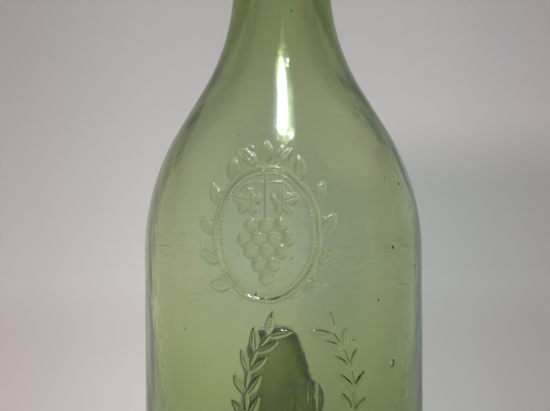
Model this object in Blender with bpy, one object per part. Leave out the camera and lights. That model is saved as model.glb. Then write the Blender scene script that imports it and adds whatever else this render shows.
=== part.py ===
"""Brandy bottle of moulded green glass with its bar-top stopper.

The glass is one piece: body, long shoulder, tapering neck, corkage finish, deep punt and the
vine relief on the front. The stopper is a cork shank glued on the spigot of a turned head.

Metres, +Z up. The origin is the middle of the ring that the glass stands on, and the relief
faces -Y.
"""

import math

import bmesh
import bpy
from mathutils import Vector

# Glass, outside
BODY_RADIUS = 0.0475
BODY_HEIGHT = 0.084
SHOULDER_SLOPE = math.radians(31.5)
SHOULDER_ARC_SHARE = 0.386
NECK_SWEEP_SHARE = 0.339
NECK_FOOT_RADIUS = 0.0168
NECK_LENGTH = 0.062
NECK_TAPER = math.radians(1.5)
HEEL_ROUND = 0.0095

# Glass, inside
BODY_WALL = 0.0028
HEEL_WALL = 0.0062
THIN_WALL_ABOVE_BODY = 0.018
BORE_RADIUS = 0.0105
MOUTH_RADIUS = 0.0093
MOUTH_FLARE = 0.012

# Punt, the hollow pushed up into the base
PUNT_HEIGHT = 0.051
PUNT_TIP_ROUND = 0.004
PUNT_SLOPE = math.radians(12)
PUNT_ASIDE = -0.0032
PUNT_WALL = 0.006
STANDING_RING_WIDTH = 0.0045

# Corkage finish: a collar, a waist and a band under the lip
COLLAR_HEIGHT = 0.0055
COLLAR_STEP = 0.0012
WAIST_HEIGHT = 0.0030
WAIST_STEP = 0.0004
BAND_HEIGHT = 0.0125
BAND_STEP = 0.0018
FINISH_ROUND = 0.0012

# Stopper
CORK_LENGTH = 0.028
CORK_GAP = 0.0003
CORK_CHAMFER = 0.0014
MOUTH_BELOW_CORK = 0.006
SPIGOT_RADIUS = 0.0040
SPIGOT_LENGTH = 0.014
SPIGOT_CHAMFER = 0.0006
GLUE_GAP = 0.0003
SEAT_GAP = 0.0003
HEAD_RADIUS = 0.0162
HEAD_SKIRT_HEIGHT = 0.0040
HEAD_GROOVE_WIDTH = 0.0030
HEAD_GROOVE_DEPTH = 0.0011
HEAD_CAP_HEIGHT = 0.0075
HEAD_EDGE_ROUND = 0.0008
HEAD_TOP_ROUND = 0.0030

# Relief: every piece is rooted in the wall, and clear of the next piece
RELIEF = 0.0009
RELIEF_EDGE = 0.0002
RELIEF_ROOT = 0.0007
RELIEF_SPACE = 0.0004
MEDALLION_HEIGHT = 0.040
MEDALLION_ASIDE = -0.0052
WREATH_HEIGHT = 0.046
WREATH_ASIDE = 0.0051
WREATH_ABOVE_HEEL = 0.010
MEDALLION_ABOVE_WREATH = 0.006

# How finely round shapes are divided
TURN_STEPS = 48
TUBE_SIDES = 6
FRAME_STEPS = 32
CASK_SIDES = 10
CURVE_STEP = math.radians(10)
FINISH_STEP = math.radians(45)

# Radii and heights that follow from the sizes above
RADIUS_DROP = BODY_RADIUS - NECK_FOOT_RADIUS
SHOULDER_ARC = RADIUS_DROP * SHOULDER_ARC_SHARE / (1 - math.cos(SHOULDER_SLOPE))
NECK_SWEEP = RADIUS_DROP * NECK_SWEEP_SHARE / (math.cos(NECK_TAPER) - math.cos(SHOULDER_SLOPE))
CONE_SHARE = 1 - SHOULDER_ARC_SHARE - NECK_SWEEP_SHARE
CONE_FOOT = BODY_HEIGHT + SHOULDER_ARC * math.sin(SHOULDER_SLOPE)
CONE_FOOT_RADIUS = BODY_RADIUS - RADIUS_DROP * SHOULDER_ARC_SHARE
CONE_TOP = CONE_FOOT + RADIUS_DROP * CONE_SHARE / math.tan(SHOULDER_SLOPE)
NECK_FOOT = CONE_TOP + NECK_SWEEP * (math.sin(SHOULDER_SLOPE) - math.sin(NECK_TAPER))
COLLAR_FOOT = NECK_FOOT + NECK_LENGTH
WAIST_FOOT = COLLAR_FOOT + COLLAR_HEIGHT
BAND_FOOT = WAIST_FOOT + WAIST_HEIGHT
GLASS_HEIGHT = BAND_FOOT + BAND_HEIGHT
MOUTH_FOOT = GLASS_HEIGHT - CORK_LENGTH - MOUTH_BELOW_CORK
PUNT_FOOT_RADIUS = BODY_RADIUS - HEEL_ROUND - STANDING_RING_WIDTH
TROUGH_ROUND = BODY_RADIUS - HEEL_WALL - PUNT_FOOT_RADIUS
WREATH_MIDDLE = HEEL_ROUND + WREATH_ABOVE_HEEL + WREATH_HEIGHT / 2
MEDALLION_MIDDLE = WREATH_MIDDLE + (WREATH_HEIGHT + MEDALLION_HEIGHT) / 2 + MEDALLION_ABOVE_WREATH

# Shares of the frame's height, for the medallion
FRAME_WIDTH_SHARE = 0.80
FRAME_ROUND_SHARE = 0.020
GRAPE_PITCH_SHARE = 0.112
GRAPE_ROWS = (3, 4, 3, 2, 1)
BUNCH_TOP_SHARE = 0.06
VINE_LEAF_SHARE = 0.20
VINE_LEAF_FOOT_SHARES = (0.075, 0.215)
SPRAY_LEAF_SHARE = 0.19
SPRAY_SHARES = (0.11, 0.18, 0.25, 0.32, 0.39)
CROWN_FOOT_SHARE = 0.07

# Shares of the wreath's height
WREATH_WIDTH_SHARE = 0.72
STEM_ROUND_SHARE = 0.012
WREATH_LEAF_SHARE = 0.155
BRANCH_SHARES = (0.015, 0.40)
CASK_LENGTH_SHARE = 0.34
CASK_WIDTH_SHARE = 0.23

# Half outlines as (along, aside) shares of a leaf's length, and the share where it peaks
NARROW_LEAF_SHARES = ((0, 0), (0.28, 0.14), (0.62, 0.13), (1, 0))
BROAD_LEAF_SHARES = ((0, 0), (0.28, 0.17), (0.55, 0.24), (0.80, 0.14), (1, 0))
VINE_LEAF_SHARES = (
    (0, 0), (-0.12, 0.18), (0.02, 0.44), (0.20, 0.28), (0.46, 0.58), (0.56, 0.24), (1, 0),
)
LEAF_PEAK_SHARE = 0.45
VINE_LEAF_PEAK_SHARE = 0.25

# Half of the cask as (along, swell) shares: bare staves, and hoops that stand out
CASK_SHARES = (
    (0, 1), (0.24, 0.96), (0.26, 1.02), (0.40, 1), (0.42, 0.93),
    (0.74, 0.84), (0.76, 0.90), (0.91, 0.86), (0.93, 0.78), (1, 0.74),
)


def arc(middle, radius, start, end, step):
    """Points of an arc from angle start to angle end, both included."""
    count = max(2, math.ceil(abs(end - start) / step - 1e-6))
    turns = [start + (end - start) * i / count for i in range(count + 1)]
    return [(middle[0] + radius * math.cos(a), middle[1] + radius * math.sin(a)) for a in turns]


def rounded(corners, step):
    """An outline through (radius, height, rounding) corners, each with its own fillet."""
    outline = []
    for i, (x, z, rounding) in enumerate(corners):
        if rounding == 0:
            outline.append((x, z))
            continue
        here = Vector((x, z))
        before = (Vector(corners[i - 1][:2]) - here).normalized()
        after = (Vector(corners[i + 1][:2]) - here).normalized()
        half = before.angle(after) / 2
        middle = here + (before + after).normalized() * rounding / math.sin(half)
        first = here + before * rounding / math.tan(half) - middle
        last = here + after * rounding / math.tan(half) - middle
        start = math.atan2(first.y, first.x)
        sweep = (math.atan2(last.y, last.x) - start + math.pi) % (2 * math.pi) - math.pi
        outline += arc(middle, rounding, start, start + sweep, step)
    return outline


def outer_radius(height):
    """Radius of the outside: cylinder, shoulder arc, cone, neck sweep and tapering neck."""
    if height <= BODY_HEIGHT:
        return BODY_RADIUS
    if height <= CONE_FOOT:
        return BODY_RADIUS - SHOULDER_ARC + math.sqrt(SHOULDER_ARC**2 - (height - BODY_HEIGHT) ** 2)
    if height <= CONE_TOP:
        return CONE_FOOT_RADIUS - (height - CONE_FOOT) * math.tan(SHOULDER_SLOPE)
    if height <= NECK_FOOT:
        drop = NECK_FOOT - height + NECK_SWEEP * math.sin(NECK_TAPER)
        middle = NECK_FOOT_RADIUS + NECK_SWEEP * math.cos(NECK_TAPER)
        return middle - math.sqrt(NECK_SWEEP**2 - drop**2)
    return NECK_FOOT_RADIUS - (height - NECK_FOOT) * math.tan(NECK_TAPER)


def eased(share):
    """A soft step from 0 to 1 as share goes from 0 to 1."""
    share = min(max(share, 0), 1)
    return share * share * (3 - 2 * share)


def inner_radius(height):
    """Radius of the hollow, whose wall is thinnest from the top of the body a little up."""
    thin_top = BODY_HEIGHT + THIN_WALL_ABOVE_BODY
    trough_top = PUNT_WALL + TROUGH_ROUND
    above = eased((height - thin_top) / (NECK_FOOT - thin_top))
    below = eased((BODY_HEIGHT - height) / (BODY_HEIGHT - trough_top))
    neck_wall = NECK_FOOT_RADIUS - BORE_RADIUS
    wall = BODY_WALL + (neck_wall - BODY_WALL) * above + (HEEL_WALL - BODY_WALL) * below
    return outer_radius(height) - wall


def spread(low, high, pitch):
    """Evenly spread values from low to high, about pitch apart, both ends included."""
    count = max(1, round((high - low) / pitch))
    return [low + (high - low) * i / count for i in range(count + 1)]


def punt_outline(lift):
    """Half outline of the punt from its tip down to its foot, lift above the underside."""
    cap = PUNT_HEIGHT - PUNT_TIP_ROUND
    slope = math.tan(PUNT_SLOPE)
    reach = PUNT_FOOT_RADIUS - PUNT_TIP_ROUND * math.cos(PUNT_SLOPE)
    drop = cap + PUNT_TIP_ROUND * math.sin(PUNT_SLOPE)
    flare = (reach - slope * drop) / (math.cos(PUNT_SLOPE) - slope * (1 - math.sin(PUNT_SLOPE)))
    tip = arc((0, cap), PUNT_TIP_ROUND + lift, math.pi / 2, PUNT_SLOPE, CURVE_STEP * 2)
    turns = (math.pi + PUNT_SLOPE, math.pi * 3 / 2)
    return tip + arc((PUNT_FOOT_RADIUS, flare), flare - lift, *turns, CURVE_STEP * 2)


def finish_outline():
    """Outside of the finish, from the collar over the lip to the foot of the mouth."""
    neck = outer_radius(COLLAR_FOOT)
    collar, waist, band = neck + COLLAR_STEP, neck + WAIST_STEP, neck + BAND_STEP
    return rounded([
        (neck, COLLAR_FOOT, 0),
        (collar, COLLAR_FOOT + COLLAR_STEP, FINISH_ROUND),
        (collar, WAIST_FOOT, FINISH_ROUND),
        (waist, WAIST_FOOT + COLLAR_STEP - WAIST_STEP, 0),
        (waist, BAND_FOOT - BAND_STEP + WAIST_STEP, 0),
        (band, BAND_FOOT, FINISH_ROUND),
        (band, GLASS_HEIGHT, FINISH_ROUND),
        (MOUTH_RADIUS, GLASS_HEIGHT, FINISH_ROUND),
        (MOUTH_RADIUS, MOUTH_FOOT, 0),
    ], FINISH_STEP)


def glass_outline():
    """Closed half section of the glass, from the punt's underside round to its top side."""
    pitch = SHOULDER_ARC * CURVE_STEP / 2
    heel_middle = (BODY_RADIUS - HEEL_ROUND, HEEL_ROUND)
    outside = punt_outline(0) + arc(heel_middle, HEEL_ROUND, -math.pi / 2, 0, CURVE_STEP * 2)
    rises = ((BODY_HEIGHT, CONE_FOOT), (CONE_FOOT, CONE_TOP), (CONE_TOP, NECK_FOOT))
    for low, high in rises:
        outside += [(outer_radius(h), h) for h in spread(low, high, pitch)[:-1]]
    outside.append((NECK_FOOT_RADIUS, NECK_FOOT))
    inside = [(BORE_RADIUS, MOUTH_FOOT - MOUTH_FLARE)]
    inside += [(inner_radius(h), h) for h in reversed(spread(BODY_HEIGHT, NECK_FOOT, pitch))]
    trough_middle = (PUNT_FOOT_RADIUS, PUNT_WALL + TROUGH_ROUND)
    falls = spread(trough_middle[1], BODY_HEIGHT, pitch * 2)[1:-1]
    inside += [(inner_radius(h), h) for h in reversed(falls)]
    inside += arc(trough_middle, TROUGH_ROUND, 0, -math.pi / 2, CURVE_STEP * 2)[:-1]
    inside += reversed(punt_outline(PUNT_WALL))
    return outside + finish_outline() + inside


def cork_outline():
    """Half section of the cork shank: chamfered below, bored from above for the spigot."""
    radius = MOUTH_RADIUS - CORK_GAP
    bore = SPIGOT_RADIUS + GLUE_GAP
    bore_end = -SPIGOT_LENGTH - GLUE_GAP
    return [
        (0, -CORK_LENGTH),
        (radius - CORK_CHAMFER, -CORK_LENGTH),
        (radius, CORK_CHAMFER - CORK_LENGTH),
        (radius, 0),
        (bore, 0),
        (bore, bore_end),
        (0, bore_end),
    ]


def head_outline():
    """Half section of the turned head, with the spigot that the cork is glued on."""
    groove_foot = GLUE_GAP + HEAD_SKIRT_HEIGHT
    groove_top = groove_foot + HEAD_GROOVE_WIDTH
    top = groove_top + HEAD_CAP_HEIGHT
    groove_middle = (groove_foot + groove_top) / 2
    return rounded([
        (0, -SPIGOT_LENGTH, 0),
        (SPIGOT_RADIUS - SPIGOT_CHAMFER, -SPIGOT_LENGTH, 0),
        (SPIGOT_RADIUS, SPIGOT_CHAMFER - SPIGOT_LENGTH, 0),
        (SPIGOT_RADIUS, GLUE_GAP, 0),
        (HEAD_RADIUS, GLUE_GAP, HEAD_EDGE_ROUND),
        (HEAD_RADIUS, groove_foot, 0),
        (HEAD_RADIUS - HEAD_GROOVE_DEPTH, groove_middle, HEAD_EDGE_ROUND),
        (HEAD_RADIUS, groove_top, 0),
        (HEAD_RADIUS, top, HEAD_TOP_ROUND),
        (0, top, 0),
    ], CURVE_STEP * 3)


def finished(shape):
    """The mesh of a finished shape, with its faces pointing out."""
    bmesh.ops.recalc_face_normals(shape, faces=shape.faces)
    mesh = bpy.data.meshes.new("shape")
    shape.to_mesh(mesh)
    shape.free()
    return mesh


def turned(outline):
    """A mesh made by turning a half section about the Z axis."""
    shape = bmesh.new()
    points = [shape.verts.new((r, 0, z)) for r, z in outline]
    ahead = points[1:]
    if outline[0][0] > 0:
        ahead = ahead + points[:1]
    edges = [shape.edges.new(pair) for pair in zip(points, ahead)]
    bmesh.ops.spin(
        shape,
        geom=points + edges,
        axis=(0, 0, 1),
        cent=(0, 0, 0),
        angle=2 * math.pi,
        steps=TURN_STEPS,
    )
    bmesh.ops.remove_doubles(shape, verts=shape.verts, dist=GLUE_GAP / 100)
    mesh = finished(shape)
    mesh.shade_smooth()
    mesh.set_sharp_from_angle(angle=math.radians(32))
    return mesh


def lean_punt(mesh):
    """Moves the punt of a turned glass aside, the more the higher it is."""
    for vertex in mesh.vertices:
        away = math.hypot(vertex.co.x, vertex.co.y)
        if away < PUNT_FOOT_RADIUS + STANDING_RING_WIDTH / 2 and vertex.co.z < BODY_HEIGHT:
            vertex.co.x += PUNT_ASIDE * vertex.co.z / PUNT_HEIGHT


def on_glass(across, height, lift):
    """The point of the front at an arc length across from the middle line, lift proud of it."""
    radius = outer_radius(height)
    lean = math.atan2(radius - outer_radius(height + RELIEF_SPACE), RELIEF_SPACE)
    angle = across / radius
    out = radius + lift * math.cos(lean)
    return Vector((out * math.sin(angle), -out * math.cos(angle), height + lift * math.sin(lean)))


class Motif:
    """Draws one ornament as closed solids, in lengths from the ornament's middle."""

    def __init__(self, shape, aside, middle):
        self.shape = shape
        self.aside = aside
        self.middle = middle

    def vertex(self, x, y, lift):
        """A vertex beside and above the ornament's middle."""
        return self.shape.verts.new(on_glass(self.aside + x, self.middle + y, lift))

    def leaf(self, foot, turn, length, half_outline, peak_share):
        """A leaf that points turn to the right of straight up and rises to a peak."""
        sides = list(half_outline) + [(a, -w) for a, w in reversed(half_outline[1:-1])]
        sine, cosine = math.sin(turn) * length, math.cos(turn) * length
        places = [
            (foot[0] + a * sine + w * cosine, foot[1] + a * cosine - w * sine)
            for a, w in sides + [(peak_share, 0)]
        ]
        peak = self.vertex(*places.pop(), RELIEF)
        rim = [self.vertex(x, y, RELIEF_EDGE) for x, y in places]
        root = [self.vertex(x, y, -RELIEF_ROOT) for x, y in places]
        for i in range(len(rim)):
            self.shape.faces.new((root[i - 1], root[i], rim[i], rim[i - 1]))
            self.shape.faces.new((rim[i - 1], rim[i], peak))
        self.shape.faces.new(root)

    def skin(self, rows, closed):
        """Joins rings of vertices, as a loop or with a cap at each end."""
        for row, ahead in zip(rows, rows[1:] + rows[:1] if closed else rows[1:]):
            for i in range(len(row)):
                self.shape.faces.new((row[i - 1], row[i], ahead[i], ahead[i - 1]))
        if not closed:
            self.shape.faces.new(rows[0])
            self.shape.faces.new(rows[-1])

    def moulding(self, path, radius, closed=False):
        """A round bead along a path, half sunk in the wall."""
        rows = []
        for i, (x, y) in enumerate(path):
            back = path[i - 1] if closed or i > 0 else path[0]
            ahead = path[(i + 1) % len(path)] if closed or i < len(path) - 1 else path[i]
            turn = math.atan2(ahead[0] - back[0], ahead[1] - back[1])
            row = []
            for side in range(TUBE_SIDES):
                angle = 2 * math.pi * side / TUBE_SIDES
                wide = radius * math.cos(angle)
                place = (x + wide * math.cos(turn), y - wide * math.sin(turn))
                row.append(self.vertex(*place, radius * math.sin(angle)))
            rows.append(row)
        self.skin(rows, closed)

    def berry(self, x, y, radius):
        """A round berry, sunk so far that it stands as proud as the leaves."""
        made = bmesh.ops.create_icosphere(self.shape, subdivisions=2, radius=radius)
        place = on_glass(self.aside + x, self.middle + y, RELIEF - radius)
        bmesh.ops.translate(self.shape, verts=made["verts"], vec=place)

    def cask(self, length, width):
        """A lying cask with its hoops, flattened into the wall."""
        rows = []
        halves = [(-a, swell) for a, swell in reversed(CASK_SHARES[1:])] + list(CASK_SHARES)
        for along, swell in halves:
            row = []
            for side in range(CASK_SIDES):
                angle = 2 * math.pi * side / CASK_SIDES
                high = width / 2 * math.cos(angle)
                row.append(self.vertex(
                    length / 2 * along, swell * high, swell * RELIEF * math.sin(angle)
                ))
            rows.append(row)
        self.skin(rows, closed=False)


def oval(width, height, share):
    """The point of an oval at a share of a turn, from its foot round its right side."""
    angle = 2 * math.pi * share
    return Vector((width / 2 * math.sin(angle), -height / 2 * math.cos(angle)))


def oval_turn(width, height, share):
    """How far the way round an oval points to the right of straight up."""
    angle = 2 * math.pi * share
    return math.atan2(width * math.cos(angle), height * math.sin(angle))


def beside(place, turn, distance):
    """The point to the right of a place, for one who faces the way that turn says."""
    return place + Vector((math.cos(turn), -math.sin(turn))) * distance


def medallion(shape):
    """Grapes under two vine leaves in an oval frame, with leaves up its sides and over it."""
    motif = Motif(shape, MEDALLION_ASIDE, MEDALLION_MIDDLE)
    height = MEDALLION_HEIGHT
    width = height * FRAME_WIDTH_SHARE
    frame_round = height * FRAME_ROUND_SHARE
    frame = [oval(width, height, i / FRAME_STEPS) for i in range(FRAME_STEPS)]
    motif.moulding(frame, frame_round, closed=True)
    pitch = height * GRAPE_PITCH_SHARE
    for row, count in enumerate(GRAPE_ROWS):
        y = height * BUNCH_TOP_SHARE - row * pitch * math.sqrt(3) / 2
        for i in range(count):
            motif.berry((i - (count - 1) / 2) * pitch, y, (pitch - RELIEF_SPACE) / 2)
    leaf_foot = [height * share for share in VINE_LEAF_FOOT_SHARES]
    spray_leaf = height * SPRAY_LEAF_SHARE
    for side in (-1, 1):
        foot = (side * leaf_foot[0], leaf_foot[1])
        turn = side * math.radians(68)
        motif.leaf(foot, turn, height * VINE_LEAF_SHARE, VINE_LEAF_SHARES, VINE_LEAF_PEAK_SHARE)
        for share in SPRAY_SHARES:
            turn = oval_turn(width, height, share)
            foot = beside(oval(width, height, share), turn, frame_round + RELIEF_SPACE)
            turn += math.radians(40)
            motif.leaf((side * foot.x, foot.y), side * turn, spray_leaf, BROAD_LEAF_SHARES,
                       LEAF_PEAK_SHARE)
    stem_foot = height * BUNCH_TOP_SHARE + pitch
    stem_top = height / 2 - frame_round - RELIEF_SPACE
    stem = [(0, y) for y in spread(stem_foot, stem_top, pitch)]
    motif.moulding(stem, height * STEM_ROUND_SHARE)
    for side in (-1, 0, 1):
        foot = (side * height * CROWN_FOOT_SHARE, height / 2 + frame_round + RELIEF_SPACE)
        motif.leaf(foot, side * math.radians(46), spray_leaf, BROAD_LEAF_SHARES, LEAF_PEAK_SHARE)


def wreath(shape):
    """A cask in an open wreath of two leafy branches."""
    motif = Motif(shape, WREATH_ASIDE, WREATH_MIDDLE)
    height = WREATH_HEIGHT
    width = height * WREATH_WIDTH_SHARE
    stem_round = height * STEM_ROUND_SHARE
    leaf = height * WREATH_LEAF_SHARE
    shares = spread(*BRANCH_SHARES, WREATH_LEAF_SHARE / math.pi)
    for side in (-1, 1):
        branch = [oval(width, height, share) for share in shares]
        motif.moulding([(side * p.x, p.y) for p in branch], stem_round)
        for share in shares[1:]:
            turn = oval_turn(width, height, share)
            for lean in (-1, 1):
                foot = beside(oval(width, height, share), turn, lean * (stem_round + RELIEF_SPACE))
                motif.leaf((side * foot.x, foot.y), side * (turn + lean * math.radians(34)), leaf,
                           NARROW_LEAF_SHARES, LEAF_PEAK_SHARE)
    motif.cask(height * CASK_LENGTH_SHARE, height * CASK_WIDTH_SHARE)


def relief_mesh():
    """All the relief, as closed solids that are rooted in the wall."""
    shape = bmesh.new()
    medallion(shape)
    wreath(shape)
    return finished(shape)


def material(name, colour, roughness, transmission=0.0):
    """A plain surface finish."""
    made = bpy.data.materials.new(name)
    made.use_nodes = True
    shader = made.node_tree.nodes["Principled BSDF"]
    shader.inputs["Base Color"].default_value = (*colour, 1)
    shader.inputs["Roughness"].default_value = roughness
    shader.inputs["Metallic"].default_value = 0
    shader.inputs["Transmission Weight"].default_value = transmission
    return made


def placed(name, mesh, finish, parent=None):
    """A named object in the scene, in its parent's place if it has one."""
    made = bpy.data.objects.new(name, mesh)
    bpy.context.scene.collection.objects.link(made)
    mesh.materials.append(finish)
    made.parent = parent
    return made


def bottle():
    """The glass, with the relief joined to its wall."""
    glass = material("green_glass", (0.36, 0.45, 0.24), 0.03, transmission=1.0)
    skin = turned(glass_outline())
    lean_punt(skin)
    made = placed("bottle", skin, glass)
    relief = placed("relief_guide", relief_mesh(), glass)
    relief.hide_render = True
    relief.display_type = "WIRE"
    join = made.modifiers.new("relief", "BOOLEAN")
    join.operation = "UNION"
    join.solver = "EXACT"
    join.object = relief


def stopper():
    """The cork and its head, carried by an empty where the head seats on the lip."""
    seat = bpy.data.objects.new("stopper_pull", None)
    bpy.context.scene.collection.objects.link(seat)
    seat.location = (0, 0, GLASS_HEIGHT + SEAT_GAP - GLUE_GAP)
    placed("stopper_cork", turned(cork_outline()), material("cork", (0.50, 0.33, 0.17), 0.85), seat)
    placed("stopper_head", turned(head_outline()), material("wood", (0.10, 0.045, 0.02), 0.35), seat)


def main():
    """Clears the scene and builds the bottle."""
    for old in list(bpy.data.objects):
        bpy.data.objects.remove(old)
    bottle()
    stopper()


main()
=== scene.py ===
"""Brandy bottle: moulded green glass with a vine relief, and its cork bar-top stopper."""

import math
import random

import bmesh
import bpy
import numpy as np
from bpy.props import FloatProperty, FloatVectorProperty, IntProperty, PointerProperty
from bpy.types import Operator, Panel, PropertyGroup
from mathutils import Matrix, Vector, noise


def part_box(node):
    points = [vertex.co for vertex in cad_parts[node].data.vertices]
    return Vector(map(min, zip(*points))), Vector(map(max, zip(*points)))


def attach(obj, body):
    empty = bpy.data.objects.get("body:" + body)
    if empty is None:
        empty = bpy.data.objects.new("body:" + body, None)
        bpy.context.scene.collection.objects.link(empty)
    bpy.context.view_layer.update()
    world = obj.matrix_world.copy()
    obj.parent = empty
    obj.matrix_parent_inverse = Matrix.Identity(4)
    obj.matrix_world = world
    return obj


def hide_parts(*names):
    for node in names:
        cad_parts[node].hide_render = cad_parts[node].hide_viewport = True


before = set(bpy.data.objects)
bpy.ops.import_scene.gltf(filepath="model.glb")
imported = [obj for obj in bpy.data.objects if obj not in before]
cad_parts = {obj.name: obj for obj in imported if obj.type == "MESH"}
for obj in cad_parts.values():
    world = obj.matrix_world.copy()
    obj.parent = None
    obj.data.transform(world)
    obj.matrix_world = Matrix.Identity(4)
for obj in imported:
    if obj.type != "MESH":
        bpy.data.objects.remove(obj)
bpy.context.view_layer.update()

bl_info = {
    "name": "Brandy bottle",
    "version": (1, 0, 0),
    "blender": (4, 5, 0),
    "location": "View3D > Sidebar > Bottle",
    "description": "A moulded green glass bottle with a vine relief, its cork stopper and a studio",
    "category": "Add Mesh",
}

MM = 0.001
GLASS_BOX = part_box("bottle")
CORK_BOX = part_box("stopper_cork")
HEAD_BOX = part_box("stopper_head")
BODY_RADIUS = GLASS_BOX[1][0]
GLASS_HEIGHT = GLASS_BOX[1][2]

# Shoulder and neck
BODY_HEIGHT = 84 * MM
SHOULDER_SLOPE = math.radians(31.5)
SHOULDER_ARC_SHARE = 0.386
NECK_SWEEP_SHARE = 0.339
NECK_FOOT_RADIUS = 16.8 * MM
NECK_TAPER = math.radians(1.5)
HEEL_ROUND = 9.5 * MM
HEEL_WALL = 6.6 * MM
THIN_WALL_ABOVE_BODY = 18 * MM
BORE_RADIUS = 10.8 * MM
MOUTH_RADIUS = 9.3 * MM
MOUTH_FLARE = 12 * MM
MOUTH_DEPTH = 34 * MM

# Punt
PUNT_HEIGHT = 51 * MM
PUNT_TIP_ROUND = 4 * MM
PUNT_SLOPE = math.radians(12)
PUNT_ASIDE = -3.2 * MM
PUNT_WALL = 6 * MM
STANDING_RING_WIDTH = 4.5 * MM

# How dull the skin is, as shares of the dullest roughness, and how far the punt's glass is tinted
# darker towards its foot
DULLEST = 0.36
HOLLOW_HAZE = 0.22
PUNT_FLANK_HAZE = 0.25
PUNT_UNDERSIDE_HAZE = 0.8
DULL_TIP_SHARES = (0.7, 1.1)
DARKENING_TOP = 50 * MM
DARKENING_FADE = 30 * MM
PUNT_DARK_TINT = (0.36, 0.33, 0.05)

# Depth of the skin's waves and ripples, and of the grit on the ornament
WAVE_DEPTH = 0.15 * MM
RIPPLE_DEPTH = 0.05 * MM
GRIT_DEPTH = 0.10 * MM

# A faint dimple in front, where the shoulder's arc meets its cone
DIMPLE_HEIGHT = 129 * MM
DIMPLE_ROUND = 1.8 * MM
DIMPLE_WIDTH = DIMPLE_ROUND * 6
DIMPLE_DEPTH = 0.16 * MM

# Where the body rubs on its neighbours
SCUFF_FOOT = 74 * MM
SCUFF_TOP = 90 * MM
SCUFF_FADE = 6 * MM
SCUFF_DULLNESS = 0.22

# Finish
COLLAR_HEIGHT = 5.5 * MM
COLLAR_STEP = 1.2 * MM
WAIST_HEIGHT = 3 * MM
WAIST_STEP = 0.4 * MM
BAND_HEIGHT = 12.5 * MM
BAND_STEP = 1.8 * MM
FINISH_ROUND = 1.2 * MM
WAIST_ROUND = 0.4 * MM

# Stopper
CORK_CHAMFER = 1.4 * MM
CORK_EDGE_ROUND = 0.4 * MM
CORK_TOP_ROUND = 0.3 * MM
CORK_BORE_DEPTH = 14.3 * MM
SPIGOT_RADIUS = 4 * MM
SPIGOT_SPACE = 0.3 * MM
SPIGOT_CHAMFER = 0.6 * MM
HEAD_LIFT = 0.3 * MM
GROOVE_RISE = 4 * MM
GROOVE_WIDTH = 3 * MM
GROOVE_DEPTH = 1.1 * MM
GROOVE_BOTTOM_ROUND = 0.8 * MM
GROOVE_EDGE_ROUND = 0.35 * MM
HEAD_FOOT_ROUND = 0.8 * MM
HEAD_TOP_ROUND = 3 * MM
SPIGOT_ROUND = 0.2 * MM

# What follows from these
RADIUS_DROP = BODY_RADIUS - NECK_FOOT_RADIUS
SHOULDER_ARC = RADIUS_DROP * SHOULDER_ARC_SHARE / (1 - math.cos(SHOULDER_SLOPE))
NECK_SWEEP = RADIUS_DROP * NECK_SWEEP_SHARE / (math.cos(NECK_TAPER) - math.cos(SHOULDER_SLOPE))
CONE_FOOT = BODY_HEIGHT + SHOULDER_ARC * math.sin(SHOULDER_SLOPE)
CONE_FOOT_RADIUS = BODY_RADIUS - RADIUS_DROP * SHOULDER_ARC_SHARE
CONE_DROP = RADIUS_DROP * (1 - SHOULDER_ARC_SHARE - NECK_SWEEP_SHARE)
CONE_TOP = CONE_FOOT + CONE_DROP / math.tan(SHOULDER_SLOPE)
NECK_FOOT = CONE_TOP + NECK_SWEEP * (math.sin(SHOULDER_SLOPE) - math.sin(NECK_TAPER))
BAND_FOOT = GLASS_HEIGHT - BAND_HEIGHT
WAIST_FOOT = BAND_FOOT - WAIST_HEIGHT
COLLAR_FOOT = WAIST_FOOT - COLLAR_HEIGHT
MOUTH_FOOT = GLASS_HEIGHT - MOUTH_DEPTH
PUNT_FOOT_RADIUS = BODY_RADIUS - HEEL_ROUND - STANDING_RING_WIDTH
TROUGH_ROUND = BODY_RADIUS - HEEL_WALL - PUNT_FOOT_RADIUS

# Where the relief stands, and its shares, which are those of the solid that it dresses
MEDALLION_HEIGHT = 40 * MM
MEDALLION_ASIDE = -5.2 * MM
WREATH_HEIGHT = 46 * MM
WREATH_ASIDE = 5.1 * MM
WREATH_MIDDLE = HEEL_ROUND + 10 * MM + WREATH_HEIGHT / 2
MEDALLION_MIDDLE = WREATH_MIDDLE + (WREATH_HEIGHT + MEDALLION_HEIGHT) / 2 + 6 * MM
FRAME_WIDTH_SHARE = 0.80
FRAME_ROUND_SHARE = 0.020
GRAPE_PITCH_SHARE = 0.112
GRAPE_ROWS = (3, 4, 3, 2, 1)
BUNCH_TOP_SHARE = 0.06
VINE_LEAF_SHARE = 0.20
VINE_LEAF_FOOT_SHARES = (0.075, 0.215)
SPRAY_LEAF_SHARE = 0.19
SPRAY_SHARES = (0.11, 0.18, 0.25, 0.32, 0.39)
CROWN_FOOT_SHARE = 0.07
WREATH_WIDTH_SHARE = 0.72
STEM_ROUND_SHARE = 0.012
WREATH_LEAF_SHARE = 0.155
BRANCH_SHARES = (0.015, 0.40)
CASK_LENGTH_SHARE = 0.34
CASK_WIDTH_SHARE = 0.23
CASK_HOOP_SHARES = (0.30, 0.66)
CASK_HOOP_HALF_SHARE = 0.09
VINE_LEAF_PEAK_SHARE = 0.25

# Half the vine leaf's rim as shares along and aside, and which points are lobes, from the tip
VINE_LEAF_SHARES = (
    (0, 0), (-0.12, 0.18), (0.02, 0.44), (0.20, 0.28), (0.46, 0.58), (0.56, 0.24), (1, 0),
)
VINE_LEAF_LOBES = (0, 2, 4)

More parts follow.
